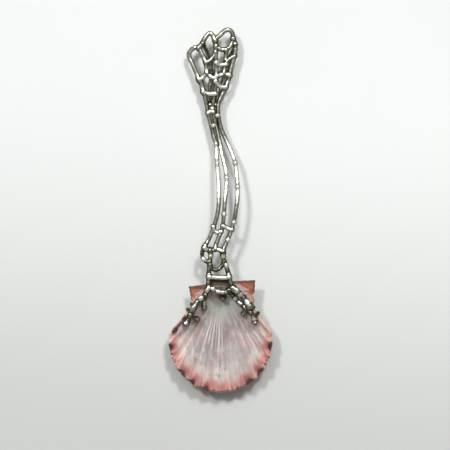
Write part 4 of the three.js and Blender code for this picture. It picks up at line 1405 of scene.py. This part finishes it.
# Stage: a pale table top, two soft lamps overhead and a studio dome
stage = {
    "tableTone": (0.945, 0.965, 0.968),
    "tableNear": (0.612, 0.621, 0.614),
    "tableFleck": (0.7, 0.71, 0.71),
    "tableShade": (-0.115, 0.055),  # metres along the spoon over which the table turns paler
    "tableSlant": 0.1,  # how much of that runs across the spoon
    "tableFlecks": (0.06, 0.03),  # wide and fine
    "tableSize": 6.0,
    "tableCells": 24,
    "lampTone": (0.985, 1.0, 0.995),
    "domeTone": (1.0, 0.995, 0.94),
    "lamps": [  # lean from straight up, towards +X and +Y in degrees, strength, apparent size in degrees
        {"leanX": -23, "leanY": 24, "strength": 1.13, "size": 8},
        {"leanX": 13, "leanY": 30, "strength": 1.17, "size": 8},
    ],
    "window": {"leanY": 27, "core": 12, "fade": 29, "strength": 1.6},  # a bright soft patch overhead
    "dome": 0.16,
    "backdrop": 0.42,  # what is added where the dome is mirrored or seen
    "backdropBand": (0.1, 0.5),  # this and the next: heights over which it comes in
    "horizon": 0.5,
    "horizonBand": (0.28, 0.1),
}
view = {  # millimetres in the row frame
    "centre": (1.845, -6.04),
    "height": 1500.0,
    "frameWidth": 184.5,
    "focus": 10.0,  # height at which the frame has that width
    "sensor": 36.0,
}


def tableFinish():
    material, shade = newFinish("pale table")
    place = shade.add("ShaderNodeTexCoord", out="Object")
    grain = shade.speckle(place, 700.0, 3.0, 0.6)
    wide = shade.speckle(place, 9.0, 2.0, 0.5)
    across = shade.add("ShaderNodeSeparateXYZ", None, {"Vector": place}, out="X")
    along = shade.add("ShaderNodeSeparateXYZ", None, {"Vector": place}, out="Y")
    # painted shade: the table is darker towards -Y and a little across it
    tone = (along + across * stage["tableSlant"]).between(*stage["tableShade"])
    tone = tone.mix(stage["tableNear"], stage["tableTone"])
    wideFleck, fineFleck = stage["tableFlecks"]
    tone = (wide.between(0.35, 0.65) * wideFleck + grain * fineFleck).mix(tone, stage["tableFleck"])
    closeFinish(shade, {"Base Color": tone, "Roughness": 0.62 + grain * 0.1}, (grain, 0.1, 0.0002))
    return material


def layTable():
    half, cells = stage["tableSize"] / 2, stage["tableCells"]
    work = bmesh.new()
    bmesh.ops.create_grid(work, x_segments=cells, y_segments=cells, size=half)
    mesh = bpy.data.meshes.new("table")
    work.to_mesh(mesh)
    work.free()
    mesh.materials.append(tableFinish())
    linked("table", mesh)


def lightStage():
    for index, lamp in enumerate(stage["lamps"]):
        sun = bpy.data.lights.new(f"lamp{index}", "SUN")
        sun.energy = lamp["strength"]
        sun.angle = math.radians(lamp["size"])
        sun.color = stage["lampTone"]
        holder = linked(f"lamp{index}", sun)
        lean = Vector((*(math.tan(math.radians(lamp[way])) for way in ("leanX", "leanY")), 1))
        holder.rotation_euler = lean.to_track_quat("Z", "Y").to_euler()
    world = bpy.data.worlds.new("studio dome")
    bpy.context.scene.world = world
    world.use_nodes = True
    world.node_tree.nodes.clear()
    shade = Shade(world.node_tree)
    direction = shade.add("ShaderNodeTexCoord", out="Generated")
    up = shade.add("ShaderNodeSeparateXYZ", None, {"Vector": direction}, out="Z")
    window = stage["window"]
    lean = math.radians(window["leanY"])
    aim = shade.vector(0.0, math.sin(lean), math.cos(lean))
    facing = {0: direction, 1: aim}
    toWindow = shade.add("ShaderNodeVectorMath", {"operation": "DOT_PRODUCT"}, facing, out="Value")
    patch = toWindow.between(*(math.cos(math.radians(window[edge])) for edge in ("fade", "core")))
    rim = up.between(*stage["horizonBand"]) * (stage["horizon"] - stage["dome"])
    kinds = ("Camera", "Glossy", "Transmission")
    rays = [shade.add("ShaderNodeLightPath", out=f"Is {kind} Ray") for kind in kinds]
    seen = (rays[0] + rays[1] + rays[2]).clamped() * up.between(*stage["backdropBand"])
    seen = seen * stage["backdrop"]
    strength = patch * window["strength"] + rim + seen + stage["dome"]
    light = {"Color": colour(stage["domeTone"]), "Strength": strength}
    dome = shade.add("ShaderNodeBackground", None, light)
    shade.add("ShaderNodeOutputWorld", None, {"Surface": dome})


def setCamera():
    camera = bpy.data.cameras.new("camera")
    camera.sensor_width = view["sensor"]
    camera.lens = view["sensor"] * (view["height"] - view["focus"]) / view["frameWidth"]
    camera.clip_start, camera.clip_end = 0.01, 50
    holder = linked("camera", camera)
    holder.matrix_world = Matrix.Translation(Vector((*view["centre"], view["height"])) * mm)
    bpy.context.scene.camera = holder


layTable()
lightStage()
setCamera()
bpy.context.scene.view_settings.view_transform = "Standard"
print("stage set")

bpy.context.view_layer.update()
